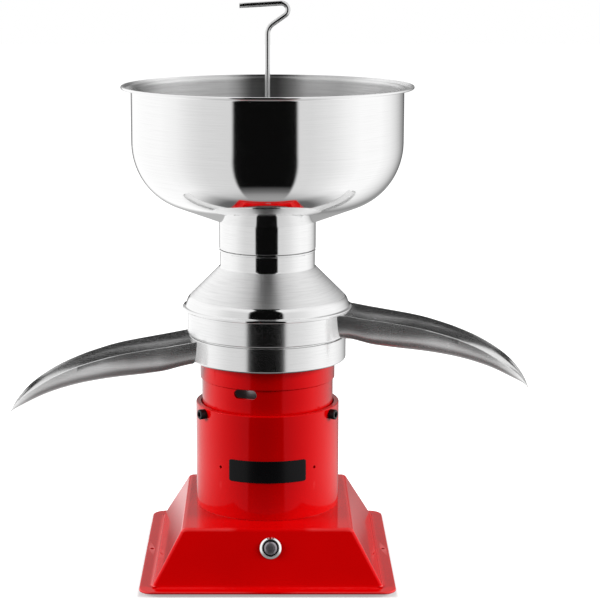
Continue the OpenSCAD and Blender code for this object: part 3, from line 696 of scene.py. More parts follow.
def hood_loops():
    # half section of the outside: (x, z, bend radius)
    section = rounded([
        (FLANGE_X - 4, HOOD_BOTTOM, 0), (FLANGE_X, HOOD_BOTTOM, 0.9), (FLANGE_X, FLANGE_TOP, 1.6),
        (FOOT_X, FLANGE_TOP, 5.0), (TOP_X, HOOD_TOP, 6.0), (TOP_X - 14, HOOD_TOP, 0)],
        steps=7, hold=0.5)
    loops = []
    for x, z in section:
        if x >= FOOT_X:                             # flange
            y = FLANGE_Y - (FLANGE_X - x)
            radius = 13 - (FLANGE_X - x) * 0.25
        elif x >= TOP_X - 0.01:                     # sloped wall
            y = FOOT_Y - (FOOT_X - x) * (FOOT_Y - TOP_Y) / (FOOT_X - TOP_X)
            radius = 3.4
        else:                                       # flat top
            y = TOP_Y - (TOP_X - x)
            radius = max(2.0, 3.4 - (TOP_X - x) * 0.35)
        loops.append(rounded_rect(x, y, radius, z))

    # the flat top runs into the round opening
    edge = loops[-1]

    def circle(radius, z=HOOD_TOP):
        angles = [atan2(p[1] / TOP_Y, p[0] / TOP_X) for p in edge]
        return [(radius * cos(a), radius * sin(a), z) for a in angles]

    loops.append([(a[0] * 0.5 + b[0] * 0.5, a[1] * 0.5 + b[1] * 0.5, HOOD_TOP)
                  for a, b in zip(edge, circle(61.5))])
    loops += [circle(60.5), circle(58.0), circle(58.0, HOOD_TOP - 2)]

    # inside of the sheet: half sizes, corner radius, z
    under = HOOD_TOP - SHEET
    loops += [rounded_rect(*row) for row in (
        (TOP_X - 8, TOP_Y - 8, 5, under),
        (TOP_X - 3.2, TOP_Y - 3.2, 5, under - 0.3),
        (TOP_X - 2.1, TOP_Y - 2.1, 5, under - 3.5),
        (FOOT_X - 2.2, FOOT_Y - 2.2, 8, FLANGE_TOP - 0.2),
        (FOOT_X - 3.3, FOOT_Y - 3.3, 8, FLANGE_TOP - 1.0),
        (FOOT_X - 3.4, FOOT_Y - 3.4, 8, HOOD_BOTTOM),
        (FLANGE_X - 4.6, FLANGE_Y - 4.6, 11, HOOD_BOTTOM))]
    return loops


def base_hood():
    hood = make("base_hood_shell", loft(hood_loops(), wrap=True), RED, "stand", "base_hood",
                sharp_angle=40)
    # holes in the flange, for the lead and for the switch
    flange_holes = ((-(FLANGE_X - 6), 0), (FLANGE_X - 6, 0), (0, FLANGE_Y - 6))
    holes = [rod((x, y, -3), (x, y, 12), 2.4) for x, y in flange_holes]
    holes.append(rod((CORD_X, FOOT_Y - 30, CORD_Z), (CORD_X, FLANGE_Y + 6, CORD_Z), 6.1))
    holes.append(moved(rod((0, 0, -8), (0, 0, 8), 9.6, sides=64), SWITCH_PLACE))
    cut(hood, holes)


# --------------------------------------------------------------------------
# column, blank plate, motor housing and its screws
# --------------------------------------------------------------------------
column_low, column_high = cad_box("column")
COLUMN_RADIUS = column_high.y
housing_low, housing_high = cad_box("motor_housing")
HOUSING_RIM = 1.7                                   # how far the rim stands out
HOUSING_RADIUS = housing_high.x - HOUSING_RIM
RIM_Z = 188.3
SCREW_ANGLES = (-150, -30, 90)
SCREW_Z = sum(corner.z for corner in cad_box("housing_screws")) / 2


def radial_hole(angle, z, radius, sides=48):
    direction = Vector((cos(radians(angle)), sin(radians(angle)), 0))
    height = Vector((0, 0, z))
    return rod(direction * 64 + height, direction * 80 + height, radius, sides)


def column():
    low, high, radius = column_low.z, column_high.z, COLUMN_RADIUS
    tube = lathe("column_tube", [
        (60, low, 0.3), (radius, low, 0.5), (radius, high, 1.1),
        (HOUSING_RADIUS + 0.9, high, 0.9), (HOUSING_RADIUS + 0.9, high - 4, 0.5),
        (radius - 3, high - 5, 0.5), (radius - 3, low + 3, 1.5), (60, low + 3, 0.6)],
        RED, "stand", "column", "red_paint", bend_steps=6, sides=256)
    cut(tube, [radial_hole(angle, SCREW_Z, 3.3) for angle in SCREW_ANGLES]
        + [radial_hole(angle, 108, 1.5, sides=32) for angle in (-130, -50)])


def blank_plate():
    low, high = cad_box("name_plate")
    face = COLUMN_RADIUS + 0.7
    half_angle = degrees(asin(min(1, high.x / face)))
    middle = (low.z + high.z) / 2
    section = rounded([(COLUMN_RADIUS + 0.03, low.z, 0.1), (face, low.z, 0.35),
                       (face, high.z, 0.35), (COLUMN_RADIUS + 0.03, high.z, 0.1)],
                      closed=True, steps=3, hold=0.2)
    steps = 64
    loops = []
    for i in range(steps + 1):
        angle = radians(-90 - half_angle + 2 * half_angle * i / steps)
        from_end = min(i, steps - i)
        shrink = {0: 1.2, 1: 0.35}.get(from_end, 0.0)
        loop = []
        for radius, z in section:
            if from_end == 0 and radius > COLUMN_RADIUS + 0.3:
                radius -= 0.25
            loop.append((radius * cos(angle), radius * sin(angle),
                         middle + (z - middle) * (1 - shrink / 11)))
        loops.append(loop)
    make("name_plate_blank", loft(loops, cap=True), PLATE_BLACK, "stand", "name_plate",
         sharp_angle=50)


def motor_housing():
    low, high, radius = housing_low.z, housing_high.z, HOUSING_RADIUS
    rim = radius + HOUSING_RIM
    cup = lathe("motor_housing_cup", [
        (9, 146, 0.5), (radius - 3.5, 146, 1.5), (radius - 3.5, low, 0.5), (radius, low, 0.6),
        (radius, RIM_Z - 1.2, 0.1), (radius - 0.9, RIM_Z - 0.7, 0.1),
        (radius - 0.9, RIM_Z + 0.1, 0.1), (rim, RIM_Z - 0.2, 0.25), (rim, high, 1.0),
        (radius - 3.5, high, 0.8), (radius - 3.5, 150, 2.0), (9, 150, 0.5)],
        HOUSING_RED, "stand", "motor_housing", "red_paint", bend_steps=6, sides=256)

    # obround slot through the wall, a little left of the front
    slot_angle, slot_z = radians(-90 - 19.5), 182.8
    end_radius, half_straight = 4.5, 7.25
    loops = []
    for distance in (50, 58, 64, 72):
        loop = []
        for a in full_circle(64):
            side = end_radius * cos(a) + copysign(half_straight, cos(a))
            loop.append((distance * cos(slot_angle) - side * sin(slot_angle),
                         distance * sin(slot_angle) + side * cos(slot_angle),
                         slot_z + end_radius * sin(a)))
        loops.append(loop)
    cut(cup, [loft(loops, cap=True)])


def cap_screw():
    """Socket head cap screw along +Z, the underside of its head at z = 0."""
    shank, shank_length = 2.95, 12
    head, top = 5.0, 6.2
    key, floor_z = 2.85, 6.2 - 3.4                  # hexagon recess
    # radius, z, hexagonal
    rings = [
        (shank * 0.6, -shank_length, False), (shank, -shank_length + 0.8, False),
        (shank, -0.4, False), (shank + 0.3, 0, False), (head - 0.3, 0, False),
        (head, 0.25, False), (head, 0.5, False), (head, top - 0.95, False),
        (head, top - 0.7, False), (head - 0.25, top - 0.3, False),
        (head - 0.75, top - 0.03, False), (head - 0.95, top, False), (key + 0.5, top, False),
        (key + 0.22, top, True), (key, top - 0.3, True), (key, floor_z + 0.2, True),
        (key - 0.2, floor_z, True), (key * 0.4, floor_z - 0.5, False),
        (0.05, floor_z - 0.8, False)]
    loops = []
    for radius, z, hexagonal in rings:
        polar = [(hex_radius(a, radius) if hexagonal else radius, a) for a in full_circle(72)]
        loops.append([(r * cos(a), r * sin(a), z) for r, a in polar])
    return loft(loops, cap=True)


def housing_screws():
    seat = (Matrix.Translation((COLUMN_RADIUS + 0.1, 0, SCREW_Z))
            @ Matrix.Rotation(pi / 2, 4, "Y") @ Matrix.Rotation(0.35, 4, "Z"))
    screws = [moved(cap_screw(), Matrix.Rotation(radians(angle), 4, "Z") @ seat)
              for angle in SCREW_ANGLES]
    make("housing_cap_screws", joined(screws), BLACK_OXIDE, "stand", "housing_screws",
         sharp_angle=30)


# --------------------------------------------------------------------------
# switch: bezel, core and cap
# --------------------------------------------------------------------------
def switch():
    fine = dict(hold=0.12, sides=96, place=SWITCH_PLACE)
    lathe("switch_bezel", [
        (6.9, -6, 0.2), (6.9, -25.9, 0.2), (9.4, -25.9, 0.5), (9.4, 0.08, 0.1),
        (10.55, 0.08, 0.1), (10.55, 0.55, 0.35), (8.55, 2.1, 0.5), (8.05, 2.1, 0.2),
        (7.9, 1.3, 0.2), (7.9, -6, 0.2)],
        CHROME, "stand", None, "chrome_ring", **fine)
    lathe("switch_core", [
        (0, -25.8), (6.85, -25.8, 0.2), (6.85, -3.4, 0.1), (7.85, -3.4, 0.1),
        (7.85, 0.9, 0.25), (7.05, 1.15, 0.3), (6.6, 0.7, 0.1), (6.6, -5.9, 0.1), (0, -5.9)],
        SWITCH_GAP_SHADE, "stand", "switch_body", "chrome_ring", bend_steps=4, closed=False, **fine)
    lathe("switch_cap", [
        (0, -3), (6.5, -3, 0.2), (6.5, 0.9, 0.35), (6.2, 1.5, 0.6), (4.6, 2.0, 2.0),
        (2.4, 2.25, 2.0), (0, 2.28)],
        BUTTON_METAL, "button", "power_button", "button_metal", closed=False, **fine)


# --------------------------------------------------------------------------
# receivers: a pressed ring with a spout each
# --------------------------------------------------------------------------
# spout stations: (distance from the axis, full width)
SPOUT_WIDTH = [
    (60, 73), (80, 73), (95, 71.6), (110, 69.4), (125, 68), (140, 67.4), (155, 66.2),
    (170, 63.8), (185, 61.6), (200, 60.6), (222, 60), (232, 58.6), (240, 54.8), (247, 47.6),
    (252, 39), (256, 29), (259, 19), (261, 10), (262, 4)]
# (distance from the axis, depth)
SPOUT_DEPTH = [
    (60, 25.6), (66, 25.6), (80, 26.6), (95, 28.2), (110, 28.5), (125, 28.1), (140, 27.2),
    (155, 25.8), (170, 24.0), (185, 22.1), (200, 19.9), (212, 17.9), (222, 15.8), (232, 13.6),
    (240, 11.6), (247, 9.2), (252, 6.6), (256, 4.2), (259, 2.3), (261, 1.4), (262, 1.25)]
# (distance from the axis, height of the rim above the receiver's floor)
SPOUT_RIM = [
    (60, 24.2), (66, 24.2), (80, 22.0), (95, 19.4), (110, 17.1), (125, 14.7), (140, 12.1),
    (155, 8.9), (170, 4.8), (185, 0.1), (200, -5.7), (212, -11.2), (222, -16.7),
    (232, -23.1), (240, -28.9), (247, -34.9), (252, -40.2), (256, -45.2), (259, -50.0),
    (261, -54.4), (262, -57.0)]
SPOUT_START, SPOUT_END = 66, 262                    # stations used from the tables
SPOUT_REACH = 261.6                                 # distance of the tip from the axis
SPOUT_RIM_MAX = 24.2
SPOUT_STEPS, SPOUT_ARC = 120, 36                    # steps along and across
SPOUT_TAPER = 0.10                                  # the walls lean outwards
SPOUT_SHEET = 1.2
MOUTH_HALF_WIDTH = 31.0


def smooth_lookup(x, table):
    """Smooth cubic through a table of (x, value)."""
    if x <= table[0][0]:
        return table[0][1]
    if x >= table[-1][0]:
        return table[-1][1]
    i = next(i for i in range(len(table) - 1) if x <= table[i + 1][0])
    (x0, y0), (x1, y1) = table[i], table[i + 1]
    before, after = table[max(i - 1, 0)], table[min(i + 2, len(table) - 1)]
    step = x1 - x0
    slope0 = (y1 - before[1]) / (x1 - before[0])
    slope1 = (after[1] - y0) / (after[0] - x0)
    s = (x - x0) / step
    return ((2 * s ** 3 - 3 * s ** 2 + 1) * y0 + (s ** 3 - 2 * s ** 2 + s) * step * slope0
            + (-2 * s ** 3 + 3 * s ** 2) * y1 + (s ** 3 - s ** 2) * step * slope1)


def half_gutter(half_width, depth, power):
    """A U of (y, z) points hanging from z = 0, from +Y to -Y."""
    points = []
    for i in range(SPOUT_ARC + 1):
        a = pi * i / SPOUT_ARC
        drop = abs(sin(a)) ** power
        points.append((half_width * signed_power(cos(a), power) * (1 - SPOUT_TAPER * drop),
                       -depth * drop))
    return points


def spout_geometry(floor_z, ring_radius, lean):
    """U-shaped gutter along +X that butts on the receiver wall, sags and narrows to a beak."""
    loops, roots = [], []
    for j in range(SPOUT_STEPS + 1):
        along = 1 - (1 - j / SPOUT_STEPS) ** 1.25
        station = SPOUT_START + (SPOUT_END - SPOUT_START) * along
        half_width = smooth_lookup(station, SPOUT_WIDTH) / 2
        depth = smooth_lookup(station, SPOUT_DEPTH)
        rise = smooth_lookup(station, SPOUT_RIM) + lean * (0.4 + 0.6 * along)
        sheet = min(SPOUT_SHEET, depth * 0.45, half_width * 0.35)
        rim_z = floor_z + min(SPOUT_RIM_MAX, rise) - 0.35 * sheet
        power = 0.60 - 0.20 * max(0.0, 1 - (station - SPOUT_START) / 75)

        # outside, rounded rim, inside, rounded rim
        rim = [(-half_width + sheet / 2 - sheet / 2 * cos(a), sheet * 0.35 * sin(a))
               for a in [pi * i / 4 for i in range(1, 4)]]
        section = half_gutter(half_width, depth, power) + rim
        section += half_gutter(half_width - sheet, depth - sheet, power)[::-1]
        section += [(-y, z) for y, z in reversed(rim)]
        if not roots:
            roots = [sqrt(max(1.0, (ring_radius - 0.25) ** 2 - y * y)) for y, _ in section]
        loops.append([(root + along * (SPOUT_REACH - root), y, rim_z + z)
                      for root, (y, z) in zip(roots, section)])
    verts, faces = loft(loops)
    size, count = len(loops[0]), len(loops)
    # close the tip and the root
    faces.append(tuple(range((count - 1) * size, count * size)))
    faces.append(tuple(range(size - 1, -1, -1)))
    return verts, faces


def receiver(milk, turn, collar, collar_height, skirt, skirt_depth, lean):
    """collar and skirt are radii; lean lifts or drops the rim of the spout towards its tip."""
    body = milk + "_receiver"
    low, high = cad_box(milk + "_tray")
    radius = max(high.y, -low.y)
    z, top = low.z + skirt_depth, high.z
    place = Matrix.Rotation(radians(turn), 4, "Z")
    ring = lathe(body + "_ring", [
        (skirt, z - skirt_depth, 0.4), (skirt, z, 0.25), (radius, z, 2.4), (radius, top, 0.42),
        (radius - 1.0, top, 0.42), (radius - 1.0, z + 1.0, 1.6), (collar, z + 1.0, 1.6),
        (collar, z + collar_height, 0.42), (collar - 1, z + collar_height, 0.42),
        (collar - 1, z, 1.0), (skirt - 1, z, 0.2), (skirt - 1, z - skirt_depth, 0.4)],
        TRAY_STEEL, body, milk + "_tray", "polished_stainless", bend_steps=8, hold=0.4,
        sides=256, place=place)

    # mouth of the spout, a rounded opening under the rim
    width, bottom, lintel = MOUTH_HALF_WIDTH, z + 1.25, top - 4.6
    mouth = rounded([(-width, bottom, 3.0), (width, bottom, 3.0), (width, lintel, 3.0),
                     (-width, lintel, 3.0)], closed=True, hold=50)
    loops = [[(x, y, mouth_z) for y, mouth_z in mouth] for x in (58, 66, 75, 90)]
    cut(ring, [moved(loft(loops, cap=True), place)])

    spout = make(body + "_spout", moved(spout_geometry(z, radius, lean), place), SPOUT_STEEL,
                 body, milk + "_spout", sharp_angle=40)
    # faces run station by station; those of the inside and its rims get their own finish
    spout.data.materials.append(GUTTER_STEEL)
    loop_size = 2 * (SPOUT_ARC + 1 + 3)
    for i in range(SPOUT_STEPS * loop_size):
        if SPOUT_ARC + 3 <= i % loop_size <= 2 * SPOUT_ARC + 5:
            spout.data.polygons[i].material_index = 1


# --------------------------------------------------------------------------
# cover and float chamber
# --------------------------------------------------------------------------
def receiver_cover():
    low, high = cad_box("receiver_cover")
    rim = max(high.x, high.y)
    z, top = low.z, high.z
    cover = lathe("receiver_cover_cone", [
        (46.3, top, 0.35), (47.9, top, 0.6), (47.9, top - 1.5, 0.5), (47.3, top - 2.0, 0.3),
        (47.3, z + 49.0, 2.2), (79.3, z + 17.0, 11.0), (82.1, z + 9.6, 1.2),
        (rim, z + 8.6, 1.2), (rim - 0.2, z + 5.8, 1.1), (78.6, z + 5.8, 0.3), (78.6, z, 0.4),
        (77.6, z, 0.4), (77.6, z + 10.0, 0.5), (80.6, z + 11.4, 0.5), (78.4, z + 16.2, 9.0),
        (46.3, z + 48.4, 1.2)],
        POLISHED, "cover", "receiver_cover", "polished_stainless", bend_steps=10, hold=0.4,
        sides=256)
    cover.data.materials.append(CONE_STEEL)
    for face in cover.data.polygons:
        if face.normal.z > 0.45 and (z + 20) * MM < face.center.z < (z + 48) * MM:
            face.material_index = 1


def float_chamber():
    low, high = cad_box("float_chamber")
    radius, z, top = high.x, low.z, high.z
    lathe("float_chamber_cup", [
        (8, z, 0.4), (8, z + 48.5, 0.6), (45.9, z + 48.5, 1.2), (45.9, z + 66.0, 0.5),
        (radius, z + 66.3, 2.6), (radius, top, 0.42), (radius - 1, top, 0.42),
        (radius - 1, z + 67.3, 1.8), (44.9, z + 67.0, 0.4), (44.9, z + 49.5, 0.8),
        (6.5, z + 49.5, 1.0), (6.5, z, 0.4)],
        POLISHED, "cover", "float_chamber", "polished_stainless", bend_steps=8, hold=0.4,
        sides=224)


# --------------------------------------------------------------------------
# bowl: outside and inside are one closed sheet with two finishes
# --------------------------------------------------------------------------
def milk_bowl():
    _, high = cad_box("milk_bowl")
    rim, top = high.x, high.z
    wall = rim - 9.9
    bend_z = top - 55                               # where the curved bottom meets the wall

    def bottom_arc(radius, height, start, end):
        """Arc of the bottom, stretched to a height."""
        arc = arc_points(wall - 62, bend_z, radius, start, end, 26)
        return [(r, bend_z + (z - bend_z) * height / radius) for r, z in arc]

    outside_arc = bottom_arc(62, 66, -70, 0)
    inside_arc = bottom_arc(61, 65, 0, -70)
    profile = rounded([(14.05, 335, 0.3), (46.4, 345.2, 0), (*outside_arc[0], 0)],
                      steps=4, hold=0.5)[:-1]
    profile += outside_arc
    profile += rounded([(wall, bend_z + 4, 0), (wall, top - 2.95, 2.4),
                        (rim - 1.4, top - 2.85, 0)], steps=12, hold=0.5)[1:]
    profile += arc_points(rim - 1.4, top - 1.4, 1.4, -75, 100, 14)      # rolled edge
    profile += rounded([(rim - 1.9, top - 0.15, 0), (rim - 2.5, top - 1.9, 0.5),
                        (wall - 1.0, top - 1.98, 3.2), (wall - 1.0, bend_z + 4, 0)],
                       steps=12, hold=0.5)[1:-1]
    profile += inside_arc
    profile += rounded([(*inside_arc[-1], 0), (14.05, 336.2, 0.3)], steps=4, hold=0.5)[1:]
    bowl = make("milk_bowl_shell", turned(profile, sides=288), BOWL_STEEL, "bowl", "milk_bowl",
                sharp_angle=40)
    bowl.data.materials.append(BOWL_INSIDE)
    # inside finish: faces that look towards the axis or up
    for face in bowl.data.polygons:
        outward = Vector((face.center.x, face.center.y, 0))
        looks_up = face.normal.z > 0.25 and outward.length < (wall - 1.5) * MM
        if face.normal.dot(outward.normalized()) < -0.02 or looks_up:
            face.material_index = 1
    lathe("bowl_locating_ring",
          [(45.4, 345.0, 0), (45.4, 338, 0.4), (46.4, 338, 0.4), (46.4, 345.3, 0)],
          BOWL_STEEL, "bowl", None, "bowl_stainless", hold=0.3)


# --------------------------------------------------------------------------
# tap: seat, plug, wire handle
# --------------------------------------------------------------------------
TAP_HOLE_Z, TAP_HOLE_RADIUS = 343, 3.5
PLUG_TOP = 358.02


def tap():
    z = TAP_HOLE_Z
    seat = lathe("tap_seat_tube", [
        (5, 330, 0.3), (14, 330, 1.0), (14, 352, 0.4), (11, 352, 0.4), (11, 332, 0.4),
        (5, 332, 0.3)],
        TAP_STEEL, "bowl", "tap_seat", "satin_stainless", hold=0.3, sides=96)
    cut(seat, [rod((-20, 0, z), (20, 0, z), TAP_HOLE_RADIUS)])
    plug = lathe("tap_plug_body", [
        (6.5, 332.2, 0.3), (10.95, 332.2, 0.3), (10.95, 352.1, 0.2), (13.5, 352.1, 0.4),
        (13.5, 354, 0.6), (4.2, 357.6, 1.0), (2.6, PLUG_TOP, 0.1), (0.0, PLUG_TOP, 0),
        (0.0, 349, 0), (6.5, 349, 0.4)],
        TAP_STEEL, "tap", "tap_plug", "satin_stainless", hold=0.3, sides=96)
    cut(plug, [rod((0, -20, z), (0, 20, z), TAP_HOLE_RADIUS)])


def tap_handle():
    """Wire in the XZ plane: upright, bent to +X, straight, bent back, straight end."""
    bend_z, first_bend, first_radius = 529.6, 55, 12.0
    straight, end_straight = 14.5, 40.5
    second_bend, second_radius = 148.4, 6.5
    lean = radians(first_bend)
    path = [(0, z) for z in (PLUG_TOP, 370, 400, 430, 460, 490, 515)]
    path += arc_points(first_radius, bend_z, first_radius, 180, 180 - first_bend, 14)
    x, z = path[-1]
    x += straight * sin(lean) - second_radius * cos(lean)
    z += straight * cos(lean) + second_radius * sin(lean)
    path += arc_points(x, z, second_radius, -first_bend, second_bend - first_bend, 28)
    x, z = path[-1]
    heading = radians(90 - first_bend + second_bend)
    path += [(x + end_straight * cos(heading) * t, z + end_straight * sin(heading) * t)
             for t in (0.3, 0.7, 1.0)]
    make("tap_wire_handle",
         sweep([(x, 0, z) for x, z in path], 2.5, sides=32, up=(0, 1, 0), round_end=0.5),
         WIRE, "tap", "tap_handle", sharp_angle=50)


# --------------------------------------------------------------------------
# mains lead, gland, plug
# --------------------------------------------------------------------------
COIL_RADIUS, COIL_STRAIGHT = 15.0, 40.0
COIL_X, COIL_Y = -25.0, 165.0                       # centre of the coil's -X end
COIL_QUARTER = pi * COIL_RADIUS / 2
COIL_LENGTH = 4 * COIL_QUARTER + 2 * COIL_STRAIGHT
PLUG_Y, PLUG_Z = COIL_Y + COIL_RADIUS, 9.3


def coil_point(turns):
    """(x, y) on the obround coil, clockwise from its -X end."""
    along = (turns - floor(turns)) * COIL_LENGTH
    quarter, straight, radius = COIL_QUARTER, COIL_STRAIGHT, COIL_RADIUS
    if along < quarter:
        a = along / quarter * pi / 2
        return COIL_X - radius * cos(a), COIL_Y + radius * sin(a)
    if along < quarter + straight:
        return COIL_X + along - quarter, COIL_Y + radius
    if along < 3 * quarter + straight:
        a = (along - quarter - straight) / quarter * pi / 2
        return COIL_X + straight + radius * sin(a), COIL_Y + radius * cos(a)
    if along < 3 * quarter + 2 * straight:
        return COIL_X + straight - (along - 3 * quarter - straight), COIL_Y - radius
    a = (along - 3 * quarter - 2 * straight) / quarter * pi / 2
    return COIL_X - radius * sin(a), COIL_Y - radius * cos(a)


def mains_lead():
    turns, steps, drop = 2 + (COIL_QUARTER + COIL_STRAIGHT) / COIL_LENGTH, 200, 18.6
    path = [(CORD_X, y, CORD_Z) for y in (100, 120, 140, 155)]
    for i in range(steps + 1):
        x, y = coil_point(min(turns * i / steps, turns - 1e-4))
        path.append((x, y, CORD_Z - drop * i / steps))
    # (x, z) of the rise into the plug
    path += [(x, PLUG_Y, z) for x, z in (
        (19, 3.8), (22, 4.5), (25, 5.3), (28, 6.2), (31, 7.3), (34, 8.3), (37, 9.0),
        (40, 9.25), (46, PLUG_Z))]
    make("mains_lead", sweep(path, 3.3), SHEATH, "stand", "power_cord",
         sharp_angle=50)


def cord_gland():
    # radius, y, hexagonal
    rings = [
        (3.4, 98, False), (6.0, 98, False), (6.0, 118.3, False), (8.0, 118.5, True),
        (8.5, 118.9, True), (8.5, 121.8, True), (8.2, 122.2, True), (7.4, 122.5, False),
        (7.3, 124.6, False), (6.6, 126.2, False), (5.6, 127.0, False), (5.2, 127.3, False),
        (5.2, 128.1, False), (4.8, 128.45, False), (3.4, 128.5, False)]
    loops = []
    for radius, y, hexagonal in rings:
        polar = [(min(radius, hex_radius(a, radius * 1.12)) if hexagonal else radius, a)
                 for a in full_circle(72)]
        loops.append([(CORD_X + r * cos(a), y, CORD_Z + r * sin(a)) for r, a in polar])
    make("cord_gland_body", loft(loops, wrap=True), PLASTIC, "stand", "cord_gland")


def mains_plug():
    """Moulded body with ribs at the lead and a waist, and two pins along +X."""
    # x, half width, half height
    stations = [
        (46.05, 4.2, 4.2), (46.4, 4.6, 4.6), (48, 4.7, 4.7), (48.6, 4.3, 4.3),
        (49.4, 4.3, 4.3), (50.0, 4.8, 4.8), (51.5, 4.9, 4.9), (52.1, 4.5, 4.5),
        (52.9, 4.5, 4.5), (53.6, 5.2, 5.2), (55.2, 7.2, 6.6), (56.6, 8.4, 7.2),
        (58.5, 8.6, 7.0), (62, 8.1, 6.4), (65, 8.3, 6.7), (67.6, 8.8, 7.6), (69.0, 8.75, 7.6),
        (69.8, 8.2, 7.1), (70.05, 7.6, 6.4)]
    loops = [[(x, PLUG_Y + width * signed_power(cos(a), 0.8),
               PLUG_Z + height * signed_power(sin(a), 0.8)) for a in full_circle(64)]
             for x, width, height in stations]
    make("mains_plug_body", loft(loops, cap=True), PLASTIC, "stand", "mains_plug",
         sharp_angle=40)
    pins = [sweep([(x, PLUG_Y + offset, PLUG_Z) for x in (69.5, 72, 80, 86)], 2.0, sides=32,
                  round_end=0.9) for offset in (-4.5, 4.5)]
    make("mains_plug_pins", joined(pins), PIN_METAL, "stand", None,
         sharp_angle=40)


def rubber_feet():
    foot_radius = 11
    outline = [(2.1, 1.7, 0.1), (4.2, 1.7, 0.2), (4.2, 0, 0.4), (10.4, 0, 0.9),
               (foot_radius, 2.9, 0.3), (2.1, 2.9, 0.1)]
    foot = turned(rounded(outline, closed=True, steps=4, hold=0.2), sides=64)
    _, high = cad_box("rubber_feet")
    x, y = high.x - foot_radius, high.y - foot_radius
    feet = [moved(foot, Matrix.Translation((side_x * x, side_y * y, 0)))
            for side_x in (-1, 1) for side_y in (-1, 1)]
    make("rubber_feet_pads", joined(feet), RUBBER, "stand", "rubber_feet",
         sharp_angle=40)


base_hood()
column()
blank_plate()
motor_housing()
housing_screws()
switch()
receiver("skim", turn=180, collar=46, collar_height=13.6, skirt=61.9, skirt_depth=8, lean=-3.5)
receiver("cream", turn=-5, collar=27, collar_height=6, skirt=76.9, skirt_depth=5, lean=3.5)
receiver_cover()
float_chamber()
milk_bowl()
tap()
tap_handle()
mains_lead()
cord_gland()
mains_plug()
rubber_feet()

# --------------------------------------------------------------------------
# stage: floor, studio walls, world, lights, camera (metres)
# --------------------------------------------------------------------------
scene = bpy.context.scene
scene.view_settings.view_transform = "Standard"
scene.view_settings.look = "None"

# wall brightness: (angle from the front / pi, grey)
LEFT_WALL = [(0.0, 0.72), (0.20, 0.72), (0.30, 0.75), (0.36, 0.82), (0.45, 0.97), (0.55, 1.05),
             (0.86, 1.1), (0.92, 0.5), (1.0, 0.45)]
RIGHT_WALL = [(0.0, 0.72), (0.20, 0.74), (0.30, 0.84), (0.38, 0.97), (0.46, 1.06), (0.60, 1.06),
              (0.68, 0.94), (0.74, 0.78), (0.79, 0.6), (0.83, 0.42), (0.87, 0.28), (1.0, 0.45)]
# half width of the dark gap: (upward part of the direction, half width)
GAP_WIDTH = [(0.0, 0.425), (0.30, 0.415), (0.70, 0.30), (0.95, 0.13), (1.0, 0.12)]


def studio(mat, x, y, z, slot_fade=None):
    """Brightness of the studio in a direction: two side walls with a dark gap between them."""
    turn = mat.div(mat.math("ARCTAN2", x, mat.mul(y, -1.0)), pi)
    from_front = mat.math("ABSOLUTE", turn)
    right_side = mat.ramp(mat.unit(turn), [(0.48, 0.0), (0.52, 1.0)])
    walls = mat.mix(right_side, mat.ramp(from_front, LEFT_WALL), mat.ramp(from_front, RIGHT_WALL))
    length = mat.length(x, y, z)
    # the gap's middle lies a little to the left
    sideways = mat.math("ABSOLUTE", mat.add(mat.div(x, length), 0.03))
    upward = mat.div(z, length)
    backward = mat.div(y, length)
    closing = mat.ramp(mat.unit(backward), [(0.53, 0.0), (0.62, 1.0)])
    gap_width = mat.sub(mat.ramp(upward, GAP_WIDTH), closing)
    edge_sharpness = 28.0
    outside_gap = mat.mul(mat.sub(sideways, gap_width), edge_sharpness, clamp=True)
    outside_gap = mat.ramp(outside_gap, [(0.0, 0.0), (1.0, 1.0)])
    overhead = mat.ramp(upward, [(0.55, 0.0), (0.85, 1.0)])
    lit = mat.mix(overhead, walls, (0.92, 0.92, 0.92))
    # a dark slot low behind the machine
    slot = mat.mul(mat.ramp(from_front, [(0.87, 0.0), (0.93, 1.0)]),
                   mat.ramp(upward, [(0.10, 1.0), (0.17, 0.0)]))
    if slot_fade is not None:
        slot = mat.mul(slot, slot_fade)
    lit = mat.mix(slot, lit, (0.03, 0.03, 0.03))
    return mat.mix(outside_gap, (0.0035, 0.0035, 0.0035), lit)


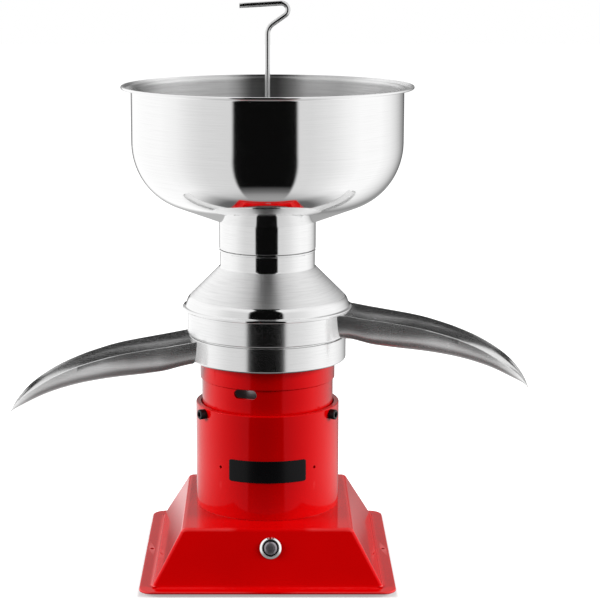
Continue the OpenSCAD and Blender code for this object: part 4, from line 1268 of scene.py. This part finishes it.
def floor_material():
    mat = Material("studio_floor")
    x, y, _ = mat.separate(mat.coords)
    light_path = mat.node("ShaderNodeLightPath").outputs
    distance = mat.length(x, y)

    # reflections: pale near the machine, with painted shade closest to it and behind it, joining the
    # studio's walls further out
    slot_fade = mat.ramp(mat.div(distance, 4.0), [(0.40, 0.0), (0.48, 1.0)])
    far = studio(mat, x, y, mat.mul(distance, 0.02), slot_fade)
    near = mat.ramp(mat.div(distance, 2.0), [(0.05, 0.22), (0.08, 0.34), (0.12, 0.46),
                                             (0.2, 0.66), (0.5, 0.80)])
    # painted shade behind the machine in reflections of the floor
    painted_shade_behind = mat.ramp(mat.add(y, 0.5), [(0.34, 0.0), (0.42, 0.75)])
    near = mat.mix(painted_shade_behind, near, (0.07, 0.07, 0.07))
    outward = mat.ramp(mat.div(distance, 2.0), [(0.085, 0.0), (0.12, 0.35), (0.15, 0.72),
                                                (0.20, 1.0)])
    reflected = mat.emission(Color=mat.mix(outward, near, far))

    # camera: a pale floor, darker close to the base, a painted contact shadow added to the rendered
    # one
    half_x, half_y = 0.124, 0.132
    from_base = mat.math("MAXIMUM", mat.sub(mat.math("ABSOLUTE", x), half_x),
                         mat.sub(mat.math("ABSOLUTE", y), half_y))
    # painted contact shadow: less glow close to the base
    lift = mat.ramp(mat.mul(mat.add(from_base, 0.01), 5.0),
                    [(0.05, 0.35), (0.065, 0.75), (0.09, 0.93), (0.16, 1.0)])
    tone = mat.ramp(mat.noise(mat.coords, scale=3, rough=0.5), [(0.3, 0.55), (0.7, 0.57)])
    mat.finish(Base_Color=tone, Roughness=0.9, Specular_IOR_Level=0.0)
    seen = mat.node("ShaderNodeAddShader")
    mat.put(mat.principled.outputs[0], seen.inputs[0])
    mat.put(mat.emission(Strength=lift), seen.inputs[1])

    # all other rays: a low even glow
    glow = mat.emission(Strength=0.14)
    shader = mat.mix_shader(light_path["Is Camera Ray"], glow, seen.outputs[0])
    mat.show(mat.mix_shader(light_path["Is Glossy Ray"], shader, reflected))
    mat.material.cycles.emission_sampling = "NONE"
    return mat.material


def studio_floor():
    cells, half = 24, 9.0
    row = cells + 1
    ticks = [-half + 2 * half * i / cells for i in range(row)]
    mesh = bpy.data.meshes.new("studio_floor")
    mesh.from_pydata([(x, y, 0) for y in ticks for x in ticks], [],
                     [(j * row + i, j * row + i + 1, (j + 1) * row + i + 1, (j + 1) * row + i)
                      for j in range(cells) for i in range(cells)])
    ground = add_object("studio_floor", mesh)
    mesh.materials.append(floor_material())


def studio_walls():
    """A sphere round the machine, seen only in reflections."""
    mat = Material("studio_walls", principled=False)
    mat.show(mat.emission(Color=studio(mat, *mat.separate(mat.coords))))
    mat.material.cycles.emission_sampling = "NONE"
    mesh = bpy.data.meshes.new("studio_walls")
    bm = bmesh.new()
    bmesh.ops.create_uvsphere(bm, u_segments=96, v_segments=48, radius=6.0)
    bm.to_mesh(mesh)
    bm.free()
    dome = add_object("studio_walls", mesh)
    mesh.materials.append(mat.material)
    for ray in ("camera", "diffuse", "shadow", "transmission", "volume_scatter"):
        setattr(dome, "visible_" + ray, False)


def studio_world():
    """White for the camera, a low even fill for everything else."""
    world = bpy.data.worlds.new("studio")
    scene.world = world
    world.use_nodes = True
    tree = Nodes(world.node_tree)
    output = tree.node("ShaderNodeOutputWorld")
    white = (1, 1, 1, 1)
    seen = tree.fill(tree.node("ShaderNodeBackground"), Color=white)
    fill = tree.fill(tree.node("ShaderNodeBackground"), Color=white, Strength=0.09)
    is_camera = tree.node("ShaderNodeLightPath").outputs["Is Camera Ray"]
    tree.put(tree.mix_shader(is_camera, fill, seen), output.inputs[0])


def area_light(name, place, target, size, watts):
    light = bpy.data.lights.new(name, "AREA")
    light.shape = "RECTANGLE"
    light.size, light.size_y = size
    light.energy = watts
    light.spread = pi
    lamp = add_object(name, light)
    lamp.location = place
    lamp.rotation_euler = (Vector(target) - Vector(place)).to_track_quat("-Z", "Y").to_euler()
    lamp.visible_glossy = False
    lamp.visible_camera = False


def add_camera():
    distance, height, target_height = 1.873, 0.627, 0.280
    view_width = 0.600                              # width seen at the target
    shift_right, shift_up = 0.0325, -0.0145         # view offset, measured at the target
    rise = height - target_height
    data = bpy.data.cameras.new("camera")
    camera = add_object("camera", data)
    scene.camera = camera
    camera.location = (0, -distance, height)
    camera.rotation_euler = (pi / 2 - atan(rise / distance), 0, 0)
    data.sensor_width = 36
    data.lens = hypot(distance, rise) / view_width * 36
    data.shift_x = shift_right / view_width
    data.shift_y = shift_up / view_width
    data.clip_start, data.clip_end = 0.05, 60


studio_floor()
studio_walls()
studio_world()
area_light("key_left", place=(-2.9, -0.45, 1.1), target=(0, 0, 0.2), size=(1.2, 1.5), watts=118)
area_light("key_right", place=(2.85, -0.62, 1.1), target=(0, 0, 0.2), size=(1.2, 1.5), watts=126)
area_light("top_soft", place=(0, -0.1, 2.9), target=(0, 0, 0), size=(2.6, 2.6), watts=25)
add_camera()
